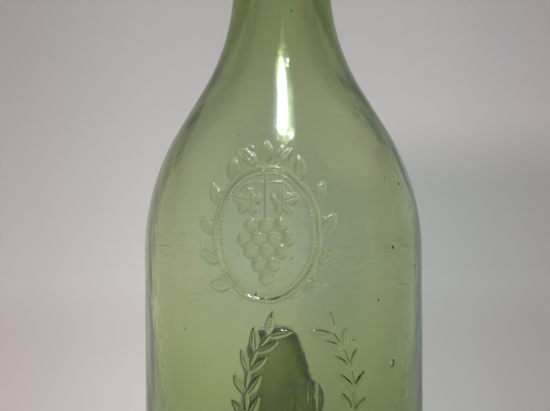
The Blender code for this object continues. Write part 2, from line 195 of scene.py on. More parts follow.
# The medallion's beads, leaves, berries and tendrils, and how far these turn from straight up
BEADS = 88
BEAD_INSET_SHARE = 4.2
VINE_LEAF_TURN = math.radians(68)
VINE_TENDRIL_TURN = math.radians(80)
VINE_TENDRIL_SHARE = 2.6
TENDRIL_ROUND = 0.3 * MM
SPRAY_LEAF_LEAN = math.radians(40)
SPRAY_LEAF_HALF_SHARE = 0.25
BERRY_LAG_SHARE = 0.028
BERRY_ASIDE_SHARE = 2.6
BERRY_ROUND = 0.6 * MM
BERRY_RISE_SHARE = 0.6
CROWN_LEAF_TURN = math.radians(46)
CROWN_TENDRIL_TURN = math.radians(70)
CROWN_TENDRIL_SHARE = 2.2
CROWN_TENDRIL_ROUND = 0.28 * MM

# The wreath's leaves and fruit, and the knot at its foot
WREATH_LEAF_LEAN = math.radians(34)
WREATH_LEAF_HALF_SHARE = 0.16
FRUIT_LEAD_SHARE = 0.018
FRUIT_ASIDE_SHARE = 2.6
FRUIT_ROUND = 0.5 * MM
FRUIT_RISE = 0.45 * MM
WREATH_FOOT_ROUND = 1.1 * MM
WREATH_FOOT_RISE_SHARE = 0.9

# How far the hand-cut mould strays from the drawing, and the share of its depth that it has lost
MOULD_WANDER = 0.16 * MM
MOULD_WEAR = 0.12

# How wide and tall the streaks are that blowing leaves: broad and fine ones in the hollow and
# faint ones outside, and the shares of the unevenness that the fine and the faint ones have
BROAD_STREAKS = (17 * MM, 75 * MM)
FINE_STREAKS = (6 * MM, 30 * MM)
FINE_STREAK_SHARE = 0.35
OUTER_STREAKS = (14 * MM, 46 * MM)
OUTER_STREAK_SHARE = 0.16

# Mesh of the glass: coarse columns all round, and a fine window on the front for the relief
COLUMNS = 180
WINDOW_COLUMNS = 36
WINDOW_FINE = 6
WINDOW_FOOT = 13 * MM
WINDOW_TOP = 124 * MM
ROW_PITCH = 1.7 * MM
RING_PITCH = 1.5 * MM
PUNT_PITCH = 2 * MM
MOUTH_PITCH = 2 * MM
BORE_PITCH = 2.5 * MM
FINISH_PITCH = 2.5 * MM
PUNT_TIP_STEPS = 10
PUNT_FLARE_STEPS = 22
HEEL_STEPS = 14
TROUGH_STEPS = 14
FINISH_STEPS = 5
NECK_ROWS = 58
SHOULDER_ROWS = 52
BODY_ROWS = 30


class GlassSettings(PropertyGroup):
    """What a user would change on the glass."""

    wall: FloatProperty(
        name="Wall", description="Thickness of the body's wall",
        default=3.3 * MM, min=1 * MM, max=6 * MM, unit="LENGTH",
    )
    relief: FloatProperty(
        name="Relief", description="How far the ornament stands out of the wall",
        default=0.88 * MM, min=0, max=2 * MM, unit="LENGTH",
    )
    uneven: FloatProperty(
        name="Unevenness", description="How far the hollow's wall strays from a true round",
        default=0.24 * MM, min=0, max=1 * MM, unit="LENGTH",
    )
    seeds: IntProperty(
        name="Seeds", description="Number of small bubbles caught in the wall", default=46, min=0,
    )
    tint: FloatVectorProperty(
        name="Tint", description="Colour that white light takes on in a thick piece of the glass",
        default=(0.457, 0.58, 0.0), size=3, min=0, max=1, subtype="COLOR",
    )
    density: FloatProperty(
        name="Depth of tint", description="How fast the glass takes the light, per metre",
        default=138, min=0, max=1000,
    )


class StopperSettings(PropertyGroup):
    """What a user would change on the stopper."""

    cork_pale: FloatVectorProperty(
        name="Cork", description="Pale ground of the cork",
        default=(0.56, 0.36, 0.19), size=3, min=0, max=1, subtype="COLOR",
    )
    cork_dark: FloatVectorProperty(
        name="Cork pores", description="Pores and growth lines of the cork",
        default=(0.16, 0.075, 0.032), size=3, min=0, max=1, subtype="COLOR",
    )
    wood_pale: FloatVectorProperty(
        name="Wood", description="Pale grain of the head's wood",
        default=(0.135, 0.052, 0.022), size=3, min=0, max=1, subtype="COLOR",
    )
    wood_dark: FloatVectorProperty(
        name="Wood grain", description="Dark grain of the head's wood",
        default=(0.028, 0.011, 0.006), size=3, min=0, max=1, subtype="COLOR",
    )
    pits: FloatProperty(
        name="Pits", description="Depth of the pores in the side of the cork",
        default=0.30 * MM, min=0, max=1 * MM, unit="LENGTH",
    )


class StageSettings(PropertyGroup):
    """What a user would change in the studio."""

    paper: FloatVectorProperty(
        name="Paper", description="Colour of the wall behind the bottle",
        default=(0.584, 0.546, 0.531), size=3, min=0, max=1, subtype="COLOR",
    )
    floor: FloatVectorProperty(
        name="Floor", description="Colour of the floor, a little warmer than the wall",
        default=(0.452, 0.408, 0.388), size=3, min=0, max=1, subtype="COLOR",
    )
    shade: FloatVectorProperty(
        name="Shade", description="Tone that the paper takes on away from the bottle, both sides",
        default=(0.78, 0.71, 0.74), size=3, min=0, max=1, subtype="COLOR",
    )
    # Painted shade: the floor and the wall's foot are darkened to the right
    right_shade: FloatVectorProperty(
        name="Right shade", description="Tone that the floor and the wall's foot take on to the right",
        default=(0.69, 0.745, 0.72), size=3, min=0, max=1, subtype="COLOR",
    )
    behind: FloatVectorProperty(
        name="Behind", description="Tone that the wall takes on straight behind the bottle",
        default=(0.84, 0.91, 0.91), size=3, min=0, max=1, subtype="COLOR",
    )
    cards: FloatVectorProperty(
        name="Cards", description="Colour of the wall at the sides, which lights the glass's edges",
        default=(0.645, 0.61, 0.56), size=3, min=0, max=1, subtype="COLOR",
    )
    daylight: FloatProperty(
        name="Daylight", description="Strength of the light from overhead", default=1.7, min=0,
    )
    strip_power: FloatProperty(
        name="Strip light", description="Power of the long light over the bottle, in watts",
        default=3.2, min=0,
    )


def outer_radius(height):
    """Radius of the outside at heights between the heel and the finish."""
    z = np.asarray(height, dtype=float)
    arc_rise = np.clip(z - BODY_HEIGHT, 0, SHOULDER_ARC)
    shoulder = BODY_RADIUS - SHOULDER_ARC + np.sqrt(SHOULDER_ARC**2 - arc_rise**2)
    cone = CONE_FOOT_RADIUS - (z - CONE_FOOT) * math.tan(SHOULDER_SLOPE)
    drop = np.clip(NECK_FOOT - z + NECK_SWEEP * math.sin(NECK_TAPER), 0, NECK_SWEEP)
    sweep_middle = NECK_FOOT_RADIUS + NECK_SWEEP * math.cos(NECK_TAPER)
    sweep = sweep_middle - np.sqrt(NECK_SWEEP**2 - drop**2)
    neck = NECK_FOOT_RADIUS - (z - NECK_FOOT) * math.tan(NECK_TAPER)
    return np.select(
        [z <= BODY_HEIGHT, z <= CONE_FOOT, z <= CONE_TOP, z <= NECK_FOOT],
        [BODY_RADIUS, shoulder, cone, sweep],
        neck,
    )


def eased(share):
    """A soft step from 0 to 1 as share goes from 0 to 1."""
    share = min(max(share, 0), 1)
    return share * share * (3 - 2 * share)


def inner_radius(height, body_wall):
    """Radius of the hollow, whose wall is thinnest from the top of the body a little up."""
    thin_top = BODY_HEIGHT + THIN_WALL_ABOVE_BODY
    trough_top = PUNT_WALL + TROUGH_ROUND
    above = eased((height - thin_top) / (NECK_FOOT - thin_top))
    below = eased((BODY_HEIGHT - height) / (BODY_HEIGHT - trough_top))
    neck_wall = NECK_FOOT_RADIUS - BORE_RADIUS
    wall = body_wall + (neck_wall - body_wall) * above + (HEEL_WALL - body_wall) * below
    return float(outer_radius(height)) - wall


def arc(middle, radius, start, end, count):
    """Points of an arc from angle start to angle end, both included."""
    turns = np.linspace(start, end, count + 1)
    return [(middle[0] + radius * math.cos(a), middle[1] + radius * math.sin(a)) for a in turns]


def line(start, end, pitch):
    """Points along a straight stretch, without its end."""
    count = max(1, round(math.dist(start, end) / pitch))
    return [
        (start[0] + (end[0] - start[0]) * i / count, start[1] + (end[1] - start[1]) * i / count)
        for i in range(count)
    ]


def rounded(corners, count):
    """An outline through (radius, height, rounding) corners, with count steps in each fillet."""
    outline = []
    for i, (x, z, rounding) in enumerate(corners):
        if rounding == 0:
            outline.append((x, z))
            continue
        here = Vector((x, z))
        before = (Vector(corners[i - 1][:2]) - here).normalized()
        after = (Vector(corners[i + 1][:2]) - here).normalized()
        half = before.angle(after) / 2
        middle = here + (before + after).normalized() * rounding / math.sin(half)
        first = here + before * rounding / math.tan(half) - middle
        last = here + after * rounding / math.tan(half) - middle
        start = math.atan2(first.y, first.x)
        sweep = (math.atan2(last.y, last.x) - start + math.pi) % (2 * math.pi) - math.pi
        outline += arc(middle, rounding, start, start + sweep, count)
    return outline


def filled(outline, pitch):
    """The outline with more points on its long straight stretches."""
    points = []
    for start, end in zip(outline, outline[1:]):
        points += line(start, end, pitch)
    return points + [outline[-1]]


def punt_outline(lift):
    """Half outline of the punt from its tip down to its foot, lift above the underside."""
    cap = PUNT_HEIGHT - PUNT_TIP_ROUND
    slope = math.tan(PUNT_SLOPE)
    reach = PUNT_FOOT_RADIUS - PUNT_TIP_ROUND * math.cos(PUNT_SLOPE)
    drop = cap + PUNT_TIP_ROUND * math.sin(PUNT_SLOPE)
    flare = (reach - slope * drop) / (math.cos(PUNT_SLOPE) - slope * (1 - math.sin(PUNT_SLOPE)))
    tip = arc((0, cap), PUNT_TIP_ROUND + lift, math.pi / 2, PUNT_SLOPE, PUNT_TIP_STEPS)
    turns = (math.pi + PUNT_SLOPE, math.pi * 1.5)
    foot = arc((PUNT_FOOT_RADIUS, flare), flare - lift, *turns, PUNT_FLARE_STEPS)
    return filled(tip, PUNT_PITCH) + line(tip[-1], foot[0], PUNT_PITCH)[1:] + foot


def finish_outline():
    """Outside of the finish, from the collar over the lip to the foot of the mouth."""
    neck = float(outer_radius(COLLAR_FOOT))
    collar, waist, band = neck + COLLAR_STEP, neck + WAIST_STEP, neck + BAND_STEP
    return filled(rounded([
        (neck, COLLAR_FOOT, 0),
        (collar, COLLAR_FOOT + COLLAR_STEP, FINISH_ROUND),
        (collar, WAIST_FOOT, FINISH_ROUND),
        (waist, WAIST_FOOT + COLLAR_STEP - WAIST_STEP, WAIST_ROUND),
        (waist, BAND_FOOT - BAND_STEP + WAIST_STEP, WAIST_ROUND),
        (band, BAND_FOOT, FINISH_ROUND),
        (band, GLASS_HEIGHT, FINISH_ROUND),
        (MOUTH_RADIUS, GLASS_HEIGHT, FINISH_ROUND),
        (MOUTH_RADIUS, MOUTH_FOOT, 0),
    ], FINISH_STEPS), FINISH_PITCH)


def oval(width, height, share):
    """The point of an oval at a share of a turn, from its foot round its right side."""
    angle = 2 * math.pi * share
    return Vector((width / 2 * math.sin(angle), -height / 2 * math.cos(angle)))


def oval_turn(width, height, share):
    """How far the way round an oval points to the right of straight up."""
    angle = 2 * math.pi * share
    return math.atan2(width * math.cos(angle), height * math.sin(angle))


def beside(place, turn, distance):
    """The point to the right of a place, for one who faces the way that turn says."""
    return place + Vector((math.cos(turn), -math.sin(turn))) * distance


def on_side(side, point):
    """The point itself for side 1, and its mirror image for side -1."""
    return Vector((side * point.x, point.y))


class Relief:
    """Height of the ornament over a grid of places across and up the front."""

    def __init__(self, across, up, proud):
        self.x = across
        self.y = up
        self.proud = proud
        self.height = np.zeros_like(across)

    def add(self, height):
        """Raises the ornament where height is more than what stands there."""
        self.height = np.maximum(self.height, height)

    def near(self, path):
        """Distance of every place of the grid to a path of points."""
        nearest = np.full_like(self.x, np.inf)
        for (ax, ay), (bx, by) in zip(path, path[1:]):
            dx, dy = bx - ax, by - ay
            share = ((self.x - ax) * dx + (self.y - ay) * dy) / (dx * dx + dy * dy)
            share = np.clip(share, 0, 1)
            away = np.hypot(self.x - ax - share * dx, self.y - ay - share * dy)
            nearest = np.minimum(nearest, away)
        return nearest

    def moulding(self, path, radius):
        """A round bead along a path."""
        share = np.clip(self.near(path) / radius, 0, 1)
        self.add(radius * np.sqrt(1 - share**2))

    def dome(self, place, radius, proud):
        """A round berry or bead."""
        share = np.clip(np.hypot(self.x - place[0], self.y - place[1]) / radius, 0, 1)
        self.add(proud * np.sqrt(1 - share**2))

    def local(self, foot, turn, length):
        """Places of the grid as (along, aside) shares of something that points turn from up."""
        dx, dy = self.x - foot[0], self.y - foot[1]
        along = (dx * math.sin(turn) + dy * math.cos(turn)) / length
        aside = (dx * math.cos(turn) - dy * math.sin(turn)) / length
        return along, aside

    def leaf(self, foot, turn, length, half_width_share):
        """A pointed leaf, arched across, with an incised rib and side veins."""
        edge_rise, arch_rise, fullness, thinning = 0.35, 0.65, 0.85, 0.35
        rib_width, rib_depth, vein_depth = 0.022, 0.34, 0.14
        vein_count, vein_slant, vein_sharpness, least = 6, 7, 6, 1e-6
        along, aside = self.local(foot, turn, length)
        share = np.clip(along, 0, 1)
        half = half_width_share * np.sin(math.pi * share**fullness) ** fullness
        across = np.abs(aside) / np.maximum(half, least)
        arch = np.sqrt(np.clip(1 - across**2, 0, 1))
        taper = np.clip(np.sin(math.pi * share), 0, 1) ** thinning
        rib = np.exp(-((aside / rib_width) ** 2))
        veins = np.cos(2 * math.pi * (along * vein_count - np.abs(aside) * vein_slant))
        veins = np.clip(veins, 0, 1) ** vein_sharpness
        form = edge_rise + arch_rise * arch * taper
        height = self.proud * (form - (rib_depth * rib + vein_depth * veins * arch))
        self.add(np.where((across < 1) & (along > 0) & (along < 1), height, 0))

    def vine_leaf(self, foot, turn, length):
        """A lobed leaf with a vein out to each lobe."""
        edge_rise, arch_rise, tooth_depth, tooth_rate = 0.35, 0.6, 0.05, 22
        vein_depth, vein_width, hub = 0.28, 0.035, 0.05
        along, aside = self.local(foot, turn, length)
        along = along - VINE_LEAF_PEAK_SHARE
        rim = [(a - VINE_LEAF_PEAK_SHARE, w) for a, w in VINE_LEAF_SHARES]
        angles = [math.atan2(w, a) for a, w in rim][::-1]
        reaches = [math.hypot(a, w) for a, w in rim][::-1]
        angle = np.abs(np.arctan2(aside, along))
        reach = np.interp(angle, angles, reaches)
        teeth = tooth_depth * (np.sin(angle * tooth_rate) > 0)
        share = np.hypot(along, aside) / (reach * (1 - teeth))
        veins = np.zeros_like(angle)
        width = vein_width / np.maximum(np.hypot(along, aside), hub)
        for lobe in VINE_LEAF_LOBES:
            veins = np.maximum(veins, np.exp(-(((angle - angles[lobe]) / width) ** 2)))
        arch = np.sqrt(np.clip(1 - share**2, 0, 1))
        height = self.proud * (edge_rise + arch_rise * arch - vein_depth * veins)
        self.add(np.where(share < 1, height, 0))

    def cask(self, middle, length, width):
        """A lying cask of staves between hoops."""
        narrowing, end_share, rise, hoop_rise = 0.26, 0.45, 0.40, 0.12
        seam_depth, seam_rate, seam_sharpness = 0.10, 9, 8
        along = (self.x - middle[0]) / (length / 2)
        swell = 1 - narrowing * along**2
        across = (self.y - middle[1]) / (width / 2 * swell)
        round_off = np.clip(1 - across**2, 0, 1)
        hoop = np.zeros_like(along)
        for place in CASK_HOOP_SHARES:
            off = (np.abs(along) - place) / CASK_HOOP_HALF_SHARE
            hoop = np.maximum(hoop, np.clip(1 - off**2, 0, 1))
        seams = np.cos(np.arcsin(np.clip(across, -1, 1)) * seam_rate)
        seams = np.clip(seams, 0, 1) ** seam_sharpness
        ends = np.clip((1 - np.abs(along)) / end_share, 0, 1)
        ends = ends * ends * (3 - 2 * ends)
        form = rise + hoop_rise * hoop - seam_depth * seams * (1 - hoop)
        height = self.proud * round_off * form * ends
        self.add(np.where((np.abs(along) < 1) & (np.abs(across) < 1), height, 0))


def curl(foot, turn, size, hand):
    """Points of a tendril that leaves its foot straight and winds up."""
    steps, bend, tighter, shorter = 26, 0.05, 0.022, 0.955
    points = [Vector(foot)]
    heading = turn
    step = size / 12
    for i in range(steps):
        heading += hand * (bend + tighter * i)
        points.append(points[-1] + Vector((math.sin(heading), math.cos(heading))) * step)
        step *= shorter
    return points


def medallion(relief):
    """Grapes under two vine leaves in an oval frame, with leaves up its sides and over it."""
    middle = Vector((MEDALLION_ASIDE, MEDALLION_MIDDLE))
    height = MEDALLION_HEIGHT
    width = height * FRAME_WIDTH_SHARE
    frame_round = height * FRAME_ROUND_SHARE
    steps = 120
    rim = [middle + oval(width, height, i / steps) for i in range(steps + 1)]
    relief.moulding(rim, frame_round)
    bead_round = frame_round / 2
    inset = frame_round * BEAD_INSET_SHARE
    for i in range(BEADS):
        place = middle + oval(width - inset, height - inset, i / BEADS)
        relief.dome(place, bead_round, bead_round)
    pitch = height * GRAPE_PITCH_SHARE
    for row, count in enumerate(GRAPE_ROWS):
        y = height * BUNCH_TOP_SHARE - row * pitch * math.sqrt(3) / 2
        for i in range(count):
            place = middle + Vector(((i - (count - 1) / 2) * pitch, y))
            relief.dome(place, pitch / 2, relief.proud)
    spray_leaf = height * SPRAY_LEAF_SHARE
    for side in (-1, 1):
        foot = middle + Vector([side * VINE_LEAF_FOOT_SHARES[0], VINE_LEAF_FOOT_SHARES[1]]) * height
        relief.vine_leaf(foot, side * VINE_LEAF_TURN, height * VINE_LEAF_SHARE)
        tendril = middle + Vector((side * pitch / 4, height / 2 - pitch))
        tendril = curl(tendril, side * VINE_TENDRIL_TURN, pitch * VINE_TENDRIL_SHARE, side)
        relief.moulding(tendril, TENDRIL_ROUND)
        for share in SPRAY_SHARES:
            turn = oval_turn(width, height, share)
            foot = middle + on_side(side, beside(oval(width, height, share), turn, frame_round))
            turn += SPRAY_LEAF_LEAN
            relief.leaf(foot, side * turn, spray_leaf, SPRAY_LEAF_HALF_SHARE)
            berry = oval(width, height, share - BERRY_LAG_SHARE)
            berry = beside(berry, turn, frame_round * BERRY_ASIDE_SHARE)
            berry_rise = relief.proud * BERRY_RISE_SHARE
            relief.dome(middle + on_side(side, berry), BERRY_ROUND, berry_rise)
        crown = middle + Vector((side * height * CROWN_FOOT_SHARE, height / 2 + frame_round))
        relief.leaf(crown, side * CROWN_LEAF_TURN, spray_leaf, SPRAY_LEAF_HALF_SHARE)
        tendril = curl(crown, side * CROWN_TENDRIL_TURN, pitch * CROWN_TENDRIL_SHARE, -side)
        relief.moulding(tendril, CROWN_TENDRIL_ROUND)
    stem_foot = middle + Vector((0, height * BUNCH_TOP_SHARE + pitch / 2))
    stem_top = middle + Vector((0, height / 2))
    relief.moulding([stem_foot, stem_top], height * STEM_ROUND_SHARE)
    top_leaf = middle + Vector((0, height / 2 + frame_round))
    relief.leaf(top_leaf, 0, spray_leaf, SPRAY_LEAF_HALF_SHARE)


def wreath(relief):
    """A cask in an open wreath of two leafy branches."""
    middle = Vector((WREATH_ASIDE, WREATH_MIDDLE))
    height = WREATH_HEIGHT
    width = height * WREATH_WIDTH_SHARE
    stem_round = height * STEM_ROUND_SHARE
    leaf = height * WREATH_LEAF_SHARE
    count = round((BRANCH_SHARES[1] - BRANCH_SHARES[0]) * math.pi / WREATH_LEAF_SHARE)
    for side in (-1, 1):
        branch = [oval(width, height, s) for s in np.linspace(*BRANCH_SHARES, 50)]
        relief.moulding([middle + on_side(side, place) for place in branch], stem_round)
        for share in np.linspace(*BRANCH_SHARES, count + 1)[1:]:
            turn = oval_turn(width, height, share)
            for lean in (-1, 1):
                foot = beside(oval(width, height, share), turn, lean * stem_round / 2)
                leaf_turn = side * (turn + lean * WREATH_LEAF_LEAN)
                relief.leaf(middle + on_side(side, foot), leaf_turn, leaf, WREATH_LEAF_HALF_SHARE)
                fruit = oval(width, height, share + FRUIT_LEAD_SHARE)
                fruit = beside(fruit, turn, lean * stem_round * FRUIT_ASIDE_SHARE)
                relief.dome(middle + on_side(side, fruit), FRUIT_ROUND, FRUIT_RISE)
    relief.cask(middle, height * CASK_LENGTH_SHARE, height * CASK_WIDTH_SHARE)
    foot = middle - Vector((0, height / 2))
    relief.dome(foot, WREATH_FOOT_ROUND, relief.proud * WREATH_FOOT_RISE_SHARE)


def streaks(place, wide, tall):
    """Slow noise from -1 to 1 that runs along the bottle's height, as the blowing leaves it."""
    return noise.noise(Vector((place[0] / wide, place[1] / wide, place[2] / tall)))


class GlassMesh:
    """The glass as one closed skin: a coarse lattice with a fine window on the front."""

    def __init__(self, settings):
        self.settings = settings
        self.outline = self.rows()
        self.places = []
        self.index = {}
        self.sections = {}
        self.faces = []
        self.relief = self.drawn_relief()
        self.lattice()

    def rows(self):
        """The closed half section: up the outside from under the punt, and down the inside."""
        heel_middle = (BODY_RADIUS - HEEL_ROUND, HEEL_ROUND)
        ring = line((PUNT_FOOT_RADIUS, 0), (BODY_RADIUS - HEEL_ROUND, 0), RING_PITCH)[1:]
        outside = punt_outline(0) + ring
        outside += arc(heel_middle, HEEL_ROUND, -math.pi / 2, 0, HEEL_STEPS)
        outside += line((BODY_RADIUS, HEEL_ROUND), (BODY_RADIUS, WINDOW_FOOT), ROW_PITCH)[1:]
        self.window_low = len(outside)
        count = round((WINDOW_TOP - WINDOW_FOOT) / ROW_PITCH) + 1
        heights = np.linspace(WINDOW_FOOT, WINDOW_TOP, count)
        outside += [(float(outer_radius(h)), h) for h in heights]
        self.window_high = len(outside) - 1
        heights = np.linspace(WINDOW_TOP, COLLAR_FOOT, NECK_ROWS)[1:-1]
        outside += [(float(outer_radius(h)), h) for h in heights]
        self.inside_start = len(outside) + len(finish_outline())
        wall = self.settings.wall
        bore_top = (BORE_RADIUS, MOUTH_FOOT - MOUTH_FLARE)
        inside = line((MOUTH_RADIUS, MOUTH_FOOT), bore_top, MOUTH_PITCH)[1:]
        inside += line(bore_top, (BORE_RADIUS, NECK_FOOT), BORE_PITCH)
        trough_middle = (PUNT_FOOT_RADIUS, PUNT_WALL + TROUGH_ROUND)
        heights = [*np.linspace(NECK_FOOT, BODY_HEIGHT, SHOULDER_ROWS)]
        heights += [*np.linspace(BODY_HEIGHT, trough_middle[1], BODY_ROWS)[1:-1]]
        inside += [(inner_radius(h, wall), h) for h in heights]
        inside += arc(trough_middle, TROUGH_ROUND, 0, -math.pi / 2, TROUGH_STEPS)[:-1]
        inside += punt_outline(PUNT_WALL)[::-1]
        return outside + finish_outline() + inside

    def drawn_relief(self):
        """The relief's height on the fine window, by row and column, as a worn mould leaves it."""
        rows = (self.window_high - self.window_low) * WINDOW_FINE + 1
        columns = WINDOW_COLUMNS * WINDOW_FINE + 1
        half = math.pi * WINDOW_COLUMNS / COLUMNS
        heights = np.linspace(WINDOW_FOOT, WINDOW_TOP, rows)
        self.window_heights = heights
        across = np.linspace(-half, half, columns)[None, :] * outer_radius(heights)[:, None]
        up = np.repeat(heights[:, None], columns, axis=1)
        wander = np.sin(across / (2.3 * MM) + 1.4 * np.sin(up / (3.1 * MM)))
        drift = np.sin(up / (2.7 * MM) + 1.7 * np.sin(across / (2.9 * MM) + 1))
        across = across + wander * MOULD_WANDER
        relief = Relief(across, up + drift * MOULD_WANDER, self.settings.relief)
        medallion(relief)
        wreath(relief)
        return relief.height * (1 - MOULD_WEAR + MOULD_WEAR * wander * drift)

    def angle(self, fine_column):
        """Turn of a fine column about the axis, with the window's middle at the front."""
        middle = WINDOW_COLUMNS * WINDOW_FINE / 2
        return 2 * math.pi * (fine_column - middle) / (COLUMNS * WINDOW_FINE)

    def section(self, fine_row):
        """Radius, height and outward normal of the half section at a fine row."""
        if fine_row in self.sections:
            return self.sections[fine_row]
        row = fine_row // WINDOW_FINE
        low, high = self.window_low * WINDOW_FINE, self.window_high * WINDOW_FINE
        if low <= fine_row <= high:
            height = float(self.window_heights[fine_row - low])
            radius = float(outer_radius(height))
            lean = (float(outer_radius(height - MM)) - float(outer_radius(height + MM))) / (2 * MM)
            normal = Vector((1, lean)).normalized()
        else:
            radius, height = self.outline[row]
            before = self.outline[max(row - 1, 0)]
            after = self.outline[min(row + 1, len(self.outline) - 1)]
            along = Vector((after[0] - before[0], after[1] - before[1])).normalized()
            normal = Vector((along.y, -along.x))
        self.sections[fine_row] = radius, height, normal
        return self.sections[fine_row]

    def place(self, fine_row, fine_column):
        """Where a vertex of the lattice stands."""
        radius, height, normal = self.section(fine_row)
        angle = self.angle(fine_column)
        lift = 0
        low = self.window_low * WINDOW_FINE
        columns = WINDOW_COLUMNS * WINDOW_FINE
        if low <= fine_row <= self.window_high * WINDOW_FINE and fine_column <= columns:
            lift = float(self.relief[fine_row - low, fine_column])
        at = (radius * math.sin(angle), -radius * math.cos(angle), height)
        lift -= self.stray(fine_row // WINDOW_FINE, at)
        out = radius + lift * normal.x
        return (
            out * math.sin(angle) + self.aside(radius, height),
            -out * math.cos(angle),
            height + lift * normal.y,
        )

    def aside(self, radius, height):
        """How far the punt leans aside."""
        in_punt = radius < PUNT_FOOT_RADIUS + STANDING_RING_WIDTH / 2 and height < BODY_HEIGHT
        return PUNT_ASIDE * height / PUNT_HEIGHT if in_punt else 0

    def haze(self, row):
        """How dull the skin is: most on the punt's tip and underside, a little in the hollow."""
        radius, height = self.outline[row]
        if radius < PUNT_FOOT_RADIUS and height < BODY_HEIGHT:
            if row < self.inside_start:
                return PUNT_UNDERSIDE_HAZE
            start, full = DULL_TIP_SHARES
            near_tip = eased((height / PUNT_HEIGHT - start) / (full - start))
            return PUNT_FLANK_HAZE + (1 - PUNT_FLANK_HAZE) * near_tip
        return HOLLOW_HAZE if row >= self.inside_start else 0.0

    # The punt's underside is tinted darker towards its foot
    def punt_darkening(self, row):
        """How much darker the glass is tinted: only on the punt, and more towards its foot."""
        radius, height = self.outline[row]
        if radius < PUNT_FOOT_RADIUS and row < self.inside_start:
            return eased((DARKENING_TOP - height) / DARKENING_FADE)
        return 0.0

    def stray(self, row, at):
        """How far the skin strays into the glass: little outside, more in the hollow."""
        fade = min(max((at[2] - HEEL_ROUND) / HEEL_ROUND, 0), 1)
        fade *= min(max((COLLAR_FOOT - at[2]) / HEEL_ROUND, 0), 1)
        if row >= self.inside_start:
            fine = FINE_STREAK_SHARE * streaks(at, *FINE_STREAKS)
            return self.settings.uneven * fade * (streaks(at, *BROAD_STREAKS) + fine)
        if row > self.window_low - 2:
            faint = self.settings.uneven * OUTER_STREAK_SHARE
            return faint * fade * (1 + streaks(at, *OUTER_STREAKS))
        return 0

    def vertex(self, fine_row, fine_column):
        """Number of the vertex at a place of the lattice."""
        last = (len(self.outline) - 1) * WINDOW_FINE
        fine_column %= COLUMNS * WINDOW_FINE
        if fine_row in (0, last):
            fine_column = 0
        key = (fine_row, fine_column)
        if key not in self.index:
            self.index[key] = len(self.places)
            if fine_row in (0, last):
                tip = self.outline[fine_row // WINDOW_FINE][1]
                self.places.append((self.aside(0, tip), 0, tip))
            else:
                self.places.append(self.place(fine_row, fine_column))
        return self.index[key]

    def edge(self, start, end, fine):
        """Vertices from start towards end, every fine one where the window borders the edge."""
        count = WINDOW_FINE if fine else 1
        return [
            self.vertex(
                start[0] + (end[0] - start[0]) * i // count,
                start[1] + (end[1] - start[1]) * i // count,
            )
            for i in range(count)
        ]

    def lattice(self):
        """Faces of the coarse lattice and of the fine window."""
        step = WINDOW_FINE
        for row in range(len(self.outline) - 1):
            in_rows = self.window_low <= row < self.window_high
            for column in range(COLUMNS):
                if in_rows and column < WINDOW_COLUMNS:
                    continue
                low, high = row * step, (row + 1) * step
                left, right = column * step, (column + 1) * step
                over = column < WINDOW_COLUMNS
                ring = self.edge((low, left), (low, right), over and row == self.window_high)
                ring += self.edge((low, right), (high, right), in_rows and column == COLUMNS - 1)
                ring += self.edge((high, right), (high, left), over and row == self.window_low - 1)
                ring += self.edge((high, left), (low, left), in_rows and column == WINDOW_COLUMNS)
                self.faces.append(list(dict.fromkeys(ring)))
        for row in range(self.window_low * step, self.window_high * step):
            for column in range(WINDOW_COLUMNS * step):
                ring = ((0, 0), (0, 1), (1, 1), (1, 0))
                self.faces.append([self.vertex(row + up, column + right) for up, right in ring])

    def made(self, name):
        """The mesh, shaded smooth, with the seeds cut out of its wall."""
        mesh = bpy.data.meshes.new(name)
        mesh.from_pydata(self.places, [], self.faces)
        haze = [0.0] * len(self.places)
        punt_darkening = [0.0] * len(self.places)
        relief = [0.0] * len(self.places)
        low = self.window_low * WINDOW_FINE
        for (row, column), number in self.index.items():
            haze[number] = self.haze(row // WINDOW_FINE)
            punt_darkening[number] = self.punt_darkening(row // WINDOW_FINE)
            if 0 <= row - low < self.relief.shape[0] and column < self.relief.shape[1]:
                relief[number] = min(self.relief[row - low, column] / self.settings.relief, 1)
        for label, values in (("haze", haze), ("punt_darkening", punt_darkening), ("relief", relief)):
            mesh.attributes.new(label, "FLOAT", "POINT").data.foreach_set("value", values)
        shape = bmesh.new()
        shape.from_mesh(mesh)
        add_seeds(shape, self.settings)
        return smooth_mesh(shape, mesh)


def in_wall(angle, height, depth):
    """A place in the glass, depth below its outside."""
    radius = float(outer_radius(height)) - depth
    return Vector((radius * math.sin(angle), -radius * math.cos(angle), height))


def smooth_mesh(shape, mesh):
    """Writes a finished shape into the mesh, shaded smooth."""
    shape.to_mesh(mesh)
    shape.free()
    mesh.shade_smooth()
    return mesh


def speck(shape, place, radius, stretch):
    """Adds a small ball, stretched in height, and returns its vertices."""
    egg = Matrix.Translation(place) @ Matrix.Diagonal((1, 1, stretch, 1))
    return bmesh.ops.create_icosphere(shape, subdivisions=2, radius=radius, matrix=egg)["verts"]


# Small bubbles: the seed of their draw, and the least and most of their heights and radii in mm
# and of how many times as tall as wide they are
SEED_DRAW = 4
SEED_HEIGHTS = (20, 175)
SEED_RADII = (0.10, 0.34)
SEED_STRETCHES = (1.0, 2.2)

# A flat round bubble: its angle from the front in degrees, height, half width and half depth in mm
BLISTER = (46.5, 50.3, 1.3, 0.35)


